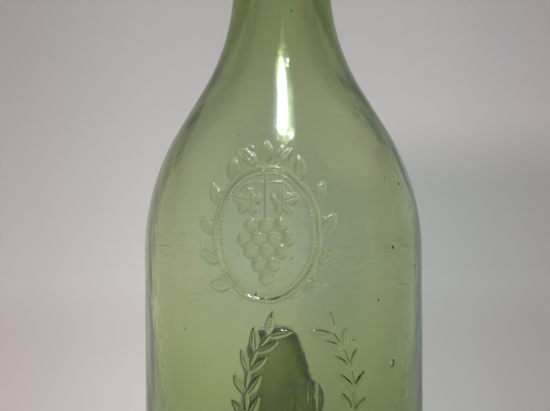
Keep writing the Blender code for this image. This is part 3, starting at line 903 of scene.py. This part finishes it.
def add_seeds(shape, settings):
    """Small bubbles and a flat one in the wall, as closed skins that face into the bubble."""
    pick = random.Random(SEED_DRAW)
    for _ in range(settings.seeds):
        angle = pick.uniform(-math.pi, math.pi)
        place = in_wall(angle, pick.uniform(*SEED_HEIGHTS) * MM, settings.wall / 2)
        radius = pick.uniform(*SEED_RADII) * MM
        turn_inside_out(shape, speck(shape, place, radius, pick.uniform(*SEED_STRETCHES)))
    angle, height, wide, deep = BLISTER
    place = in_wall(math.radians(angle), height * MM, settings.wall / 2)
    flat = Matrix.Diagonal((wide * MM, deep * MM, wide * MM, 1))
    turned = Matrix.Translation(place) @ Matrix.Rotation(math.radians(angle), 4, "Z") @ flat
    made = bmesh.ops.create_icosphere(shape, subdivisions=4, radius=1, matrix=turned)
    turn_inside_out(shape, made["verts"])


def turn_inside_out(shape, verts):
    """Turns the faces at some vertices round."""
    faces = {face for vert in verts for face in vert.link_faces}
    bmesh.ops.reverse_faces(shape, faces=list(faces))


def lathe(name, outline, columns, stray=None):
    """A turned mesh whose outline starts and ends on the axis; stray moves a place inwards."""
    places, faces, rings = [], [], []
    for radius, height in outline:
        if radius < 1e-9:
            rings.append([len(places)] * columns)
            places.append((0, 0, height))
            continue
        ring = []
        for column in range(columns):
            angle = 2 * math.pi * column / columns
            at = (radius * math.cos(angle), radius * math.sin(angle), height)
            shrink = 1 - (stray(at) / radius if stray else 0)
            ring.append(len(places))
            places.append((at[0] * shrink, at[1] * shrink, height))
        rings.append(ring)
    for low, high in zip(rings, rings[1:]):
        for column in range(columns):
            after = (column + 1) % columns
            corners = [low[column], low[after], high[after], high[column]]
            faces.append(list(dict.fromkeys(corners)))
    mesh = bpy.data.meshes.new(name)
    mesh.from_pydata(places, [], faces)
    shape = bmesh.new()
    shape.from_mesh(mesh)
    bmesh.ops.recalc_face_normals(shape, faces=shape.faces)
    return smooth_mesh(shape, mesh)


def placed(name, data):
    """A new object in the scene that shows a mesh, a lamp or a camera."""
    made = bpy.data.objects.new(name, data)
    bpy.context.scene.collection.objects.link(made)
    return made


def piece(name, mesh, body, stands_for, material):
    """A piece that rides on a body, stands for a CAD node and takes its finish from a slot."""
    made = placed(name, mesh)
    mesh.materials.append(material)
    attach(made, body)
    if stands_for:
        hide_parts(stands_for)
    return made


def new_material(name):
    """An empty material with its tree, output and Principled shader."""
    made = bpy.data.materials.new(name)
    made.use_nodes = True
    tree = made.node_tree
    return made, tree, tree.nodes["Principled BSDF"]


def node(tree, kind, **values):
    """A node with some inputs set by name, and settings by attribute."""
    made = tree.nodes.new(kind)
    for key, value in values.items():
        if key in made.inputs:
            made.inputs[key].default_value = value
        else:
            setattr(made, key, value)
    return made


def mottle_group():
    """Uneven tone, which can be stretched, for glass, cork, wood and paper alike."""
    name = "uneven tone"
    if name in bpy.data.node_groups:
        return bpy.data.node_groups[name]
    tree = bpy.data.node_groups.new(name, "ShaderNodeTree")
    for label, default in (("Scale", 100.0), ("Contrast", 1.0), ("Threshold", 0.5)):
        socket = tree.interface.new_socket(label, in_out="INPUT", socket_type="NodeSocketFloat")
        socket.default_value = default
    tree.interface.new_socket("Stretch", in_out="INPUT", socket_type="NodeSocketVector")
    tree.interface.new_socket("Mask", in_out="OUTPUT", socket_type="NodeSocketFloat")
    inputs = tree.nodes.new("NodeGroupInput")
    outputs = tree.nodes.new("NodeGroupOutput")
    place = tree.nodes.new("ShaderNodeTexCoord")
    stretch = node(tree, "ShaderNodeVectorMath", operation="MULTIPLY")
    uneven = node(tree, "ShaderNodeTexNoise", Detail=5.0, Roughness=0.55)
    tree.links.new(place.outputs["Object"], stretch.inputs[0])
    tree.links.new(inputs.outputs["Stretch"], stretch.inputs[1])
    tree.links.new(stretch.outputs[0], uneven.inputs["Vector"])
    tree.links.new(inputs.outputs["Scale"], uneven.inputs["Scale"])
    tone = maths(tree, "SUBTRACT", uneven.outputs["Fac"], inputs.outputs["Threshold"])
    tone = maths(tree, "MULTIPLY", tone, inputs.outputs["Contrast"])
    tone = maths(tree, "ADD", tone, 0.5, clamp=True)
    tree.links.new(tone, outputs.inputs["Mask"])
    return tree


def mottle(tree, scale, contrast=4.0, threshold=0.5, stretch=(1, 1, 1)):
    """An uneven tone in a material, as its mask output."""
    made = tree.nodes.new("ShaderNodeGroup")
    made.node_tree = mottle_group()
    made.inputs["Scale"].default_value = scale
    made.inputs["Contrast"].default_value = contrast
    made.inputs["Threshold"].default_value = threshold
    made.inputs["Stretch"].default_value = stretch
    return made.outputs["Mask"]


# Numbers of the colour sockets on a Mix node
MIX_LOW, MIX_HIGH, MIX_RESULT = 6, 7, 2


def colour_mix(tree, mask, low, high, blend="MIX"):
    """A colour between low, where the mask is 0, and high; either may be another output."""
    made = node(tree, "ShaderNodeMix", data_type="RGBA", blend_type=blend)
    tree.links.new(mask, made.inputs["Factor"])
    for number, colour in ((MIX_LOW, low), (MIX_HIGH, high)):
        if isinstance(colour, bpy.types.NodeSocket):
            tree.links.new(colour, made.inputs[number])
        else:
            made.inputs[number].default_value = (*colour, 1)
    return made.outputs[MIX_RESULT]


def toned(tree, mask, colour, tone):
    """A colour that is multiplied by a tone where the mask is 1."""
    return colour_mix(tree, mask, colour, tone, "MULTIPLY")


def span(tree, mask, low, high):
    """A number between low, where the mask is 0, and high."""
    made = node(tree, "ShaderNodeMapRange")
    made.inputs["To Min"].default_value = low
    made.inputs["To Max"].default_value = high
    tree.links.new(mask, made.inputs["Value"])
    return made.outputs["Result"]


def ramp(tree, value, start, end):
    """A soft step from 0, where value is start, to 1, where it is end."""
    made = node(tree, "ShaderNodeMapRange", interpolation_type="SMOOTHSTEP")
    made.inputs["From Min"].default_value = start
    made.inputs["From Max"].default_value = end
    tree.links.new(value, made.inputs["Value"])
    return made.outputs["Result"]


def maths(tree, operation, *values, clamp=False):
    """The result of a sum on values, each a number or another output."""
    made = node(tree, "ShaderNodeMath", operation=operation, use_clamp=clamp)
    for socket, value in zip(made.inputs, values):
        if isinstance(value, bpy.types.NodeSocket):
            tree.links.new(value, socket)
        else:
            socket.default_value = value
    return made.outputs[0]


def product(tree, *masks):
    """The product of some masks."""
    result = masks[0]
    for mask in masks[1:]:
        result = maths(tree, "MULTIPLY", result, mask)
    return result


def peak(tree, value, middle, reach):
    """A soft mask that is 1 where value is middle and fades out at reach from it."""
    below = ramp(tree, value, middle - reach, middle)
    return product(tree, below, ramp(tree, value, middle + reach, middle))


def bump(tree, height, strength, distance, under=None):
    """A normal that follows a height mask, on top of another bump if one is given."""
    made = node(tree, "ShaderNodeBump", Strength=strength, Distance=distance)
    tree.links.new(height, made.inputs["Height"])
    if under:
        tree.links.new(under, made.inputs["Normal"])
    return made.outputs["Normal"]


def node_axis(tree, axis, space="Object"):
    """A coordinate on the object itself, or in the sky's own space, by the axis's letter."""
    place = tree.nodes.new("ShaderNodeTexCoord")
    axes = tree.nodes.new("ShaderNodeSeparateXYZ")
    tree.links.new(place.outputs[space], axes.inputs[0])
    return axes.outputs[axis]


def node_value(tree, name):
    """A value that the mesh carries at its vertices."""
    return node(tree, "ShaderNodeAttribute", attribute_name=name).outputs["Fac"]


def glass_material(settings):
    """Pale olive glass that takes its colour from its depth, smeared and scuffed, and tinted darker
    on the punt towards its foot.
    """
    made, tree, shader = new_material("moulded green glass")
    # The punt's underside is tinted darker towards its foot
    darkening = colour_mix(tree, node_value(tree, "punt_darkening"), (1, 1, 1), PUNT_DARK_TINT)
    tree.links.new(darkening, shader.inputs["Base Color"])
    shader.inputs["Metallic"].default_value = 0
    shader.inputs["Transmission Weight"].default_value = 1
    shader.inputs["IOR"].default_value = 1.52
    smears = mottle(tree, 45, contrast=5.0, threshold=0.62, stretch=(1, 1, 0.6))
    haze = node_value(tree, "haze")
    film = maths(tree, "MULTIPLY_ADD", haze, DULLEST, span(tree, smears, 0.01, 0.05))
    height = node_axis(tree, "Z")
    scuffs = product(
        tree,
        mottle(tree, 420, contrast=16.0, threshold=0.64, stretch=(0.14, 0.14, 2.6)),
        ramp(tree, height, SCUFF_TOP + SCUFF_FADE, SCUFF_TOP),
        ramp(tree, height, SCUFF_FOOT - SCUFF_FADE, SCUFF_FOOT),
    )
    worn = maths(tree, "MULTIPLY_ADD", scuffs, SCUFF_DULLNESS, film)
    tree.links.new(worn, shader.inputs["Roughness"])
    shader.inputs["Coat Weight"].default_value = 0.08
    shader.inputs["Coat Roughness"].default_value = 0.2
    waves = mottle(tree, 120, contrast=1.0, stretch=(1, 1, 0.5))
    ripples = mottle(tree, 260, contrast=1.0, stretch=(0.5, 0.5, 2.2))
    dimple = product(
        tree,
        peak(tree, height, DIMPLE_HEIGHT, DIMPLE_ROUND),
        peak(tree, node_axis(tree, "X"), 0, DIMPLE_WIDTH / 2),
        ramp(tree, node_axis(tree, "Y"), 0, -BODY_RADIUS / 2),
    )
    grit = product(tree, mottle(tree, 800, contrast=1.5), node_value(tree, "relief"))
    under = bump(tree, waves, 1.0, WAVE_DEPTH)
    under = bump(tree, dimple, -1.0, DIMPLE_DEPTH, under)
    under = bump(tree, grit, 1.0, GRIT_DEPTH, under)
    tree.links.new(bump(tree, ripples, 1.0, RIPPLE_DEPTH, under), shader.inputs["Normal"])
    depth = node(tree, "ShaderNodeVolumeAbsorption", Density=settings.density)
    depth.inputs["Color"].default_value = (*settings.tint, 1)
    tree.links.new(depth.outputs["Volume"], tree.nodes["Material Output"].inputs["Volume"])
    return made


def stone_material():
    """Dark unmelted specks in the glass."""
    made, tree, shader = new_material("dark specks in the glass")
    tone = mottle(tree, 3000, contrast=2.0)
    tone = colour_mix(tree, tone, (0.010, 0.012, 0.006), (0.05, 0.05, 0.025))
    tree.links.new(tone, shader.inputs["Base Color"])
    shader.inputs["Roughness"].default_value = 0.6
    return made


def cork_material(settings):
    """Natural cork: growth lines, dark pores and a dry, slightly rough face."""
    made, tree, shader = new_material("natural cork")
    ground = mottle(tree, 260, contrast=2.4, stretch=(1, 0.35, 1))
    fine = mottle(tree, 1500, contrast=2.0)
    pores = mottle(tree, 420, contrast=14.0, threshold=0.63, stretch=(0.45, 1, 1.6))
    pale = tuple(settings.cork_pale)
    warm = tuple(c * s for c, s in zip(pale, (0.74, 0.66, 0.58)))
    light = tuple(min(1, c * 1.22) for c in pale)
    tone = colour_mix(tree, ground, warm, pale)
    tone = colour_mix(tree, span(tree, fine, 0, 0.45), tone, light)
    tone = colour_mix(tree, span(tree, pores, 0, 0.9), tone, tuple(settings.cork_dark))
    tree.links.new(tone, shader.inputs["Base Color"])
    tree.links.new(span(tree, fine, 0.72, 0.95), shader.inputs["Roughness"])
    under = bump(tree, fine, 0.35, 0.15 * MM)
    depth = span(tree, pores, 1, 0)
    tree.links.new(bump(tree, depth, 0.7, 0.35 * MM, under), shader.inputs["Normal"])
    return made


def wood_material(settings):
    """Dark stained wood under varnish, its grain running across the head."""
    made, tree, shader = new_material("varnished dark wood")
    grain = mottle(tree, 330, contrast=3.0, stretch=(0.10, 1, 1))
    figure = mottle(tree, 90, contrast=2.6, stretch=(0.18, 1, 1))
    pores = mottle(tree, 1500, contrast=9.0, threshold=0.60, stretch=(0.05, 1, 1))
    dark, pale = tuple(settings.wood_dark), tuple(settings.wood_pale)
    middle = tuple((a + b) / 2 for a, b in zip(dark, pale))
    tone = colour_mix(tree, figure, middle, pale)
    tone = colour_mix(tree, span(tree, grain, 0, 0.75), tone, dark)
    tone = colour_mix(tree, span(tree, pores, 0, 0.8), tone, tuple(c * 0.4 for c in dark))
    tree.links.new(tone, shader.inputs["Base Color"])
    tree.links.new(span(tree, figure, 0.34, 0.5), shader.inputs["Roughness"])
    shader.inputs["Coat Weight"].default_value = 0.6
    shader.inputs["Coat Roughness"].default_value = 0.12
    under = bump(tree, pores, -0.25, 0.10 * MM)
    tree.links.new(bump(tree, grain, 0.12, 0.15 * MM, under), shader.inputs["Normal"])
    return made


# The paper's tones fan out from a place in front of the bottle. Each runs from a start, where it is
# nil, to where it is full: metres from the bottle, or metres aside for each metre of the way back.
FAN_FOOT = 0.35
FAN_NEAREST = 0.3
WALL_AWAY = (0.3, 1.25)
FRONT_FLOOR_BACK = (0.12, -0.35)
SHADE_ASIDE = (0.08, 0.33)
CARD_ASIDE = (0.29, 0.38)
HIGH_CARD_RISE = (0.6, 0.95)
RIGHT_CARD_ASIDE = (0, 0.3)
FRONT_CARD_BACK = (-0.2, -0.9)
BEHIND_ASIDE = (0.155, 0.11)
BEHIND_BACK = (0.10, 0.5)
BEHIND_NARROWING = 0.21
BEHIND_FULL_BELOW = 0.15
# Where the painted shade to the right sets in, by height and by bearing
RIGHT_SHADE_RISE = (0.30, 0.12)
RIGHT_SHADE_ASIDE = (0.0, 0.07)
FRONT_FLOOR_TONE = (1.35, 1.3, 0.95)
HIGH_CARD_SHARE = 0.68
RIGHT_CARD_TONE = (0.86, 0.94, 0.97)
FRONT_CARD_COLOUR = (0.58, 0.65, 0.78)
PATCH_TONE = (0.97, 0.97, 0.97)


def paper_material(settings):
    """Pale matt paper: a warm floor, a wall behind the bottle and cards at its sides and front."""
    made, tree, shader = new_material("studio paper")
    x, y, z = (node_axis(tree, axis) for axis in "XYZ")
    way_back = maths(tree, "MAXIMUM", maths(tree, "ADD", y, FAN_FOOT), FAN_NEAREST)
    right = maths(tree, "DIVIDE", x, way_back)
    aside = maths(tree, "ABSOLUTE", right)
    away = maths(tree, "SQRT", maths(tree, "ADD", product(tree, x, x), product(tree, y, y)))

    floor = tuple(settings.floor)
    front_floor = tuple(min(1, c * s) for c, s in zip(floor, FRONT_FLOOR_TONE))
    sheet = colour_mix(tree, ramp(tree, y, *FRONT_FLOOR_BACK), floor, front_floor)
    sheet = colour_mix(tree, ramp(tree, away, *WALL_AWAY), sheet, tuple(settings.paper))
    sheet = toned(tree, ramp(tree, aside, *SHADE_ASIDE), sheet, settings.shade)

    cards = tuple(settings.cards)
    high_cards = tuple(c * HIGH_CARD_SHARE for c in cards)
    cards = colour_mix(tree, ramp(tree, z, *HIGH_CARD_RISE), cards, high_cards)
    cards = toned(tree, ramp(tree, right, *RIGHT_CARD_ASIDE), cards, RIGHT_CARD_TONE)
    cards = colour_mix(tree, ramp(tree, y, *FRONT_CARD_BACK), cards, FRONT_CARD_COLOUR)
    sheet = colour_mix(tree, ramp(tree, aside, *CARD_ASIDE), sheet, cards)

    rise = maths(tree, "MAXIMUM", z, BEHIND_FULL_BELOW)
    narrowed = maths(tree, "MULTIPLY_ADD", rise, BEHIND_NARROWING, aside)
    behind = product(tree, ramp(tree, narrowed, *BEHIND_ASIDE), ramp(tree, y, *BEHIND_BACK))
    sheet = toned(tree, behind, sheet, settings.behind)
    # Painted shade: the floor and the wall's foot are darkened to the right
    right_shade = product(tree, ramp(tree, z, *RIGHT_SHADE_RISE), ramp(tree, right, *RIGHT_SHADE_ASIDE))
    sheet = toned(tree, right_shade, sheet, settings.right_shade)
    sheet = toned(tree, mottle(tree, 30, contrast=0.6), sheet, PATCH_TONE)
    tree.links.new(sheet, shader.inputs["Base Color"])
    shader.inputs["Roughness"].default_value = 0.9
    shader.inputs["Specular IOR Level"].default_value = 0.2
    return made


# Dark specks: how many times as tall as wide they are, and each one's angle from the front in
# degrees, height and radius in mm
STONE_STRETCH = 1.5
STONES = (
    (58.3, 106.6, 0.46), (61, 105.4, 0.3), (77, 103.5, 0.42), (47.2, 86.7, 0.42),
    (64.9, 80.3, 0.36), (38.7, 70.6, 0.3), (10.8, 164, 0.28), (-41, 62, 0.2),
    (-22, 122, 0.2), (27, 59, 0.18), (140, 90, 0.3), (-120, 70, 0.26),
    (168, 121, 0.22), (-95, 104, 0.2), (100, 40, 0.24),
)


class BOTTLE_OT_glass(Operator):
    """Make the glass, with its relief, hollow, punt, finish and seeds"""

    bl_idname = "bottle.glass"
    bl_label = "Glass"

    def execute(self, context):
        settings = context.scene.bottle_glass
        mesh = GlassMesh(settings).made("bottle_glass")
        piece("bottle_glass", mesh, "bottle", "bottle", glass_material(settings))
        return {"FINISHED"}


class BOTTLE_OT_specks(Operator):
    """Make the dark specks that the glass holds just under its skin"""

    bl_idname = "bottle.specks"
    bl_label = "Specks"

    def execute(self, context):
        settings = context.scene.bottle_glass
        shape = bmesh.new()
        for turn, height, radius in STONES:
            place = in_wall(math.radians(turn), height * MM, settings.wall / 3)
            speck(shape, place, radius * MM, STONE_STRETCH)
        mesh = smooth_mesh(shape, bpy.data.meshes.new("glass_specks"))
        piece("glass_specks", mesh, "bottle", None, stone_material())
        return {"FINISHED"}


class BOTTLE_OT_stopper(Operator):
    """Make the cork shank and the turned head of the stopper"""

    bl_idname = "bottle.stopper"
    bl_label = "Stopper"

    def execute(self, context):
        settings = context.scene.bottle_stopper
        self.cork(settings)
        self.head(settings)
        return {"FINISHED"}

    def cork(self, settings):
        """The shank, pitted on its side, with a bore for the spigot."""
        low, high = CORK_BOX
        radius = high[0]
        bore = SPIGOT_RADIUS + SPIGOT_SPACE
        bore_end = high[2] - CORK_BORE_DEPTH

        wide, tall, start, steepness = 1.6, 0.7, 0.22, 4

        def stray(at):
            if math.hypot(at[0], at[1]) < radius - CORK_CHAMFER * 1.2:
                return 0
            pore = noise.noise(Vector((at[0] / wide, at[1] / wide, at[2] / tall)) / MM)
            return settings.pits * min(max((pore - start) * steepness, 0), 1)

        outline = rounded([
            (0, low[2], 0),
            (radius - CORK_CHAMFER, low[2], CORK_EDGE_ROUND),
            (radius, low[2] + CORK_CHAMFER, CORK_EDGE_ROUND),
            (radius, high[2], CORK_TOP_ROUND),
            (bore, high[2], SPIGOT_ROUND),
            (bore, bore_end, 0),
            (0, bore_end, 0),
        ], 4)
        mesh = lathe("cork_shank", filled(outline, 0.45 * MM), 150, stray)
        piece("cork_shank", mesh, "stopper", "stopper_cork", cork_material(settings))

    def head(self, settings):
        """The turned head with its groove and its spigot."""
        low, high = HEAD_BOX
        radius = high[0]
        seat = CORK_BOX[1][2] + HEAD_LIFT
        groove_foot = seat + GROOVE_RISE
        groove_top = groove_foot + GROOVE_WIDTH
        outline = rounded([
            (0, low[2], 0),
            (SPIGOT_RADIUS - SPIGOT_CHAMFER, low[2], SPIGOT_ROUND),
            (SPIGOT_RADIUS, low[2] + SPIGOT_CHAMFER, SPIGOT_ROUND),
            (SPIGOT_RADIUS, seat, SPIGOT_ROUND),
            (radius, seat, HEAD_FOOT_ROUND),
            (radius, groove_foot, GROOVE_EDGE_ROUND),
            (radius - GROOVE_DEPTH, (groove_foot + groove_top) / 2, GROOVE_BOTTOM_ROUND),
            (radius, groove_top, GROOVE_EDGE_ROUND),
            (radius, high[2], HEAD_TOP_ROUND),
            (0, high[2], 0),
        ], 8)
        mesh = lathe("bar_top", filled(outline, 1.2 * MM), 160)
        piece("bar_top", mesh, "stopper", "stopper_head", wood_material(settings))


# The sky: its colour, the sine of the height at which it starts to brighten and is brightest,
# its strength low down, and the strength that is seen
SKY_COLOUR = (0.96, 0.99, 1.0)
SKY_RISE = (0.40, 0.95)
LOW_SKY = 0.60
SEEN_SKY = 0.42

# The lamps stand on a sphere round the bottle's shoulder
LAMP_AIM = Vector((0, 0, 0.140))
LAMP_REACH = 0.95
STRIP_RISE = math.radians(71.5)
STRIP_SIZE = (0.11, 0.42)
STRIP_COLOUR = (0.93, 1, 1)
GLOW_COLOUR = (0.75, 0.88, 1)
GLOW_SPACE = 0.01

# The strip light's glow in steps: times its width, and share of its brightness
STRIP_GLOWS = ((1, 1), (1.35, 0.16), (1.8, 0.08), (2.4, 0.05), (3.2, 0.03))

# Small lamps: name, bearing right of the front and rise in degrees, size, share of the strip's
# power, and colour
SMALL_LAMPS = (
    ("spot_light", 13, 58, (0.05, 0.05), 1 / 8, STRIP_COLOUR),
    ("gap_light", 1, 42, (0.02, 0.17), 1 / 90, (1, 0.93, 0.72)),
)


class BOTTLE_OT_stage(Operator):
    """Make the paper floor and wall, the lights and the camera"""

    bl_idname = "bottle.stage"
    bl_label = "Stage"

    def execute(self, context):
        settings = context.scene.bottle_stage
        context.scene.view_settings.view_transform = "Standard"
        paths = context.scene.cycles
        paths.max_bounces = paths.transmission_bounces = 48
        paths.glossy_bounces = 32
        self.paper(settings)
        self.daylight(context, settings)
        self.strip(settings)
        self.camera(context)
        return {"FINISHED"}

    def paper(self, settings):
        """A round floor that sweeps up into a wall on every side."""
        reach, height, sweep, pitch = 1.9, 1.1, 0.7, 0.1
        outline = filled([(0, 0), (reach - sweep, 0)], pitch)[:-1]
        outline += arc((reach - sweep, sweep), sweep, -math.pi / 2, 0, 24)
        outline += [(reach, height)]
        mesh = lathe("paper_sweep", outline, 120)
        mesh.materials.append(paper_material(settings))
        made = placed("paper_sweep", mesh)

    def daylight(self, context, settings):
        """Light from the open top of the sweep, strongest straight overhead, which gloss and glass
        show as dim as the camera would see it."""
        world = bpy.data.worlds.new("daylight")
        context.scene.world = world
        world.use_nodes = True
        tree = world.node_tree
        ground = tree.nodes["Background"]
        ground.inputs["Color"].default_value = (*SKY_COLOUR, 1)
        overhead = ramp(tree, node_axis(tree, "Z", "Generated"), *SKY_RISE)
        sky = span(tree, overhead, LOW_SKY, settings.daylight)
        path = tree.nodes.new("ShaderNodeLightPath").outputs
        seen = maths(tree, "MAXIMUM", path["Is Camera Ray"], path["Is Glossy Ray"])
        seen = maths(tree, "MAXIMUM", seen, path["Is Transmission Ray"])
        strength = node(tree, "ShaderNodeMix")
        tree.links.new(seen, strength.inputs["Factor"])
        tree.links.new(sky, strength.inputs["A"])
        strength.inputs["B"].default_value = SEEN_SKY
        tree.links.new(strength.outputs["Result"], ground.inputs["Strength"])

    def lamp(self, name, bearing, rise, reach, size, power, colour):
        """An oval lamp that faces the shoulder from a bearing right of the front and a rise."""
        level, high = reach * math.cos(rise), reach * math.sin(rise)
        way = Vector((level * math.sin(bearing), -level * math.cos(bearing), high))
        data = bpy.data.lights.new(name, "AREA")
        data.shape = "ELLIPSE"
        data.size, data.size_y = size
        data.energy = power
        data.color = colour
        made = placed(name, data)
        made.location = LAMP_AIM + way
        made.rotation_euler = (-way).to_track_quat("-Z", "Y").to_euler()

    def strip(self, settings):
        """A strip light in its glow and two small lamps, which the neck and shoulder reflect."""
        power = settings.strip_power
        for step, (wide, share) in enumerate(STRIP_GLOWS):
            tall = 0.8 + 0.2 * wide
            self.lamp(
                "strip_light", 0, STRIP_RISE, LAMP_REACH + GLOW_SPACE * step,
                (STRIP_SIZE[0] * wide, STRIP_SIZE[1] * tall), power * wide * tall * share,
                GLOW_COLOUR if step else STRIP_COLOUR,
            )
        for name, bearing, rise, size, share, colour in SMALL_LAMPS:
            turn, lift = math.radians(bearing), math.radians(rise)
            self.lamp(name, turn, lift, LAMP_REACH, size, power * share, colour)

    def camera(self, context):
        """The camera straight in front, level, as high as the foot of the shoulder."""
        focal_px, width_px, aside_px = 1000, 550, 8
        distance, height, nearest = 0.346, 0.100, 0.01
        roll = math.radians(-0.35)
        data = bpy.data.cameras.new("camera")
        data.lens = data.sensor_width * focal_px / width_px
        data.clip_start = nearest
        made = placed("camera", data)
        made.location = (0, -distance, height)
        pan = math.atan(aside_px / focal_px)
        level = Matrix.Rotation(pan, 3, "Z") @ Matrix.Rotation(math.pi / 2, 3, "X")
        made.rotation_euler = (level @ Matrix.Rotation(roll, 3, "Z")).to_euler()
        context.scene.camera = made


class BOTTLE_PT_panel(Panel):
    """The bottle's pieces and what can be changed on them."""

    bl_idname = "BOTTLE_PT_panel"
    bl_label = "Brandy bottle"
    bl_space_type = "VIEW_3D"
    bl_region_type = "UI"
    bl_category = "Bottle"

    def draw(self, context):
        layout = self.layout
        scene = context.scene
        for settings, operators in (
            (scene.bottle_glass, (BOTTLE_OT_glass, BOTTLE_OT_specks)),
            (scene.bottle_stopper, (BOTTLE_OT_stopper,)),
            (scene.bottle_stage, (BOTTLE_OT_stage,)),
        ):
            box = layout.box()
            for name in settings.__annotations__:
                box.prop(settings, name)
            for operator in operators:
                box.operator(operator.bl_idname)


CLASSES = (
    GlassSettings,
    StopperSettings,
    StageSettings,
    BOTTLE_OT_glass,
    BOTTLE_OT_specks,
    BOTTLE_OT_stopper,
    BOTTLE_OT_stage,
    BOTTLE_PT_panel,
)


def register():
    """Makes the classes and their settings known to Blender."""
    for made in CLASSES:
        bpy.utils.register_class(made)
    bpy.types.Scene.bottle_glass = PointerProperty(type=GlassSettings)
    bpy.types.Scene.bottle_stopper = PointerProperty(type=StopperSettings)
    bpy.types.Scene.bottle_stage = PointerProperty(type=StageSettings)


def unregister():
    """Takes the classes and their settings away again."""
    del bpy.types.Scene.bottle_stage
    del bpy.types.Scene.bottle_stopper
    del bpy.types.Scene.bottle_glass
    for made in reversed(CLASSES):
        bpy.utils.unregister_class(made)


def main():
    """Builds the bottle and its studio."""
    register()
    bpy.ops.bottle.stage()
    bpy.ops.bottle.glass()
    bpy.ops.bottle.specks()
    bpy.ops.bottle.stopper()


if __name__ == "__main__":
    main()
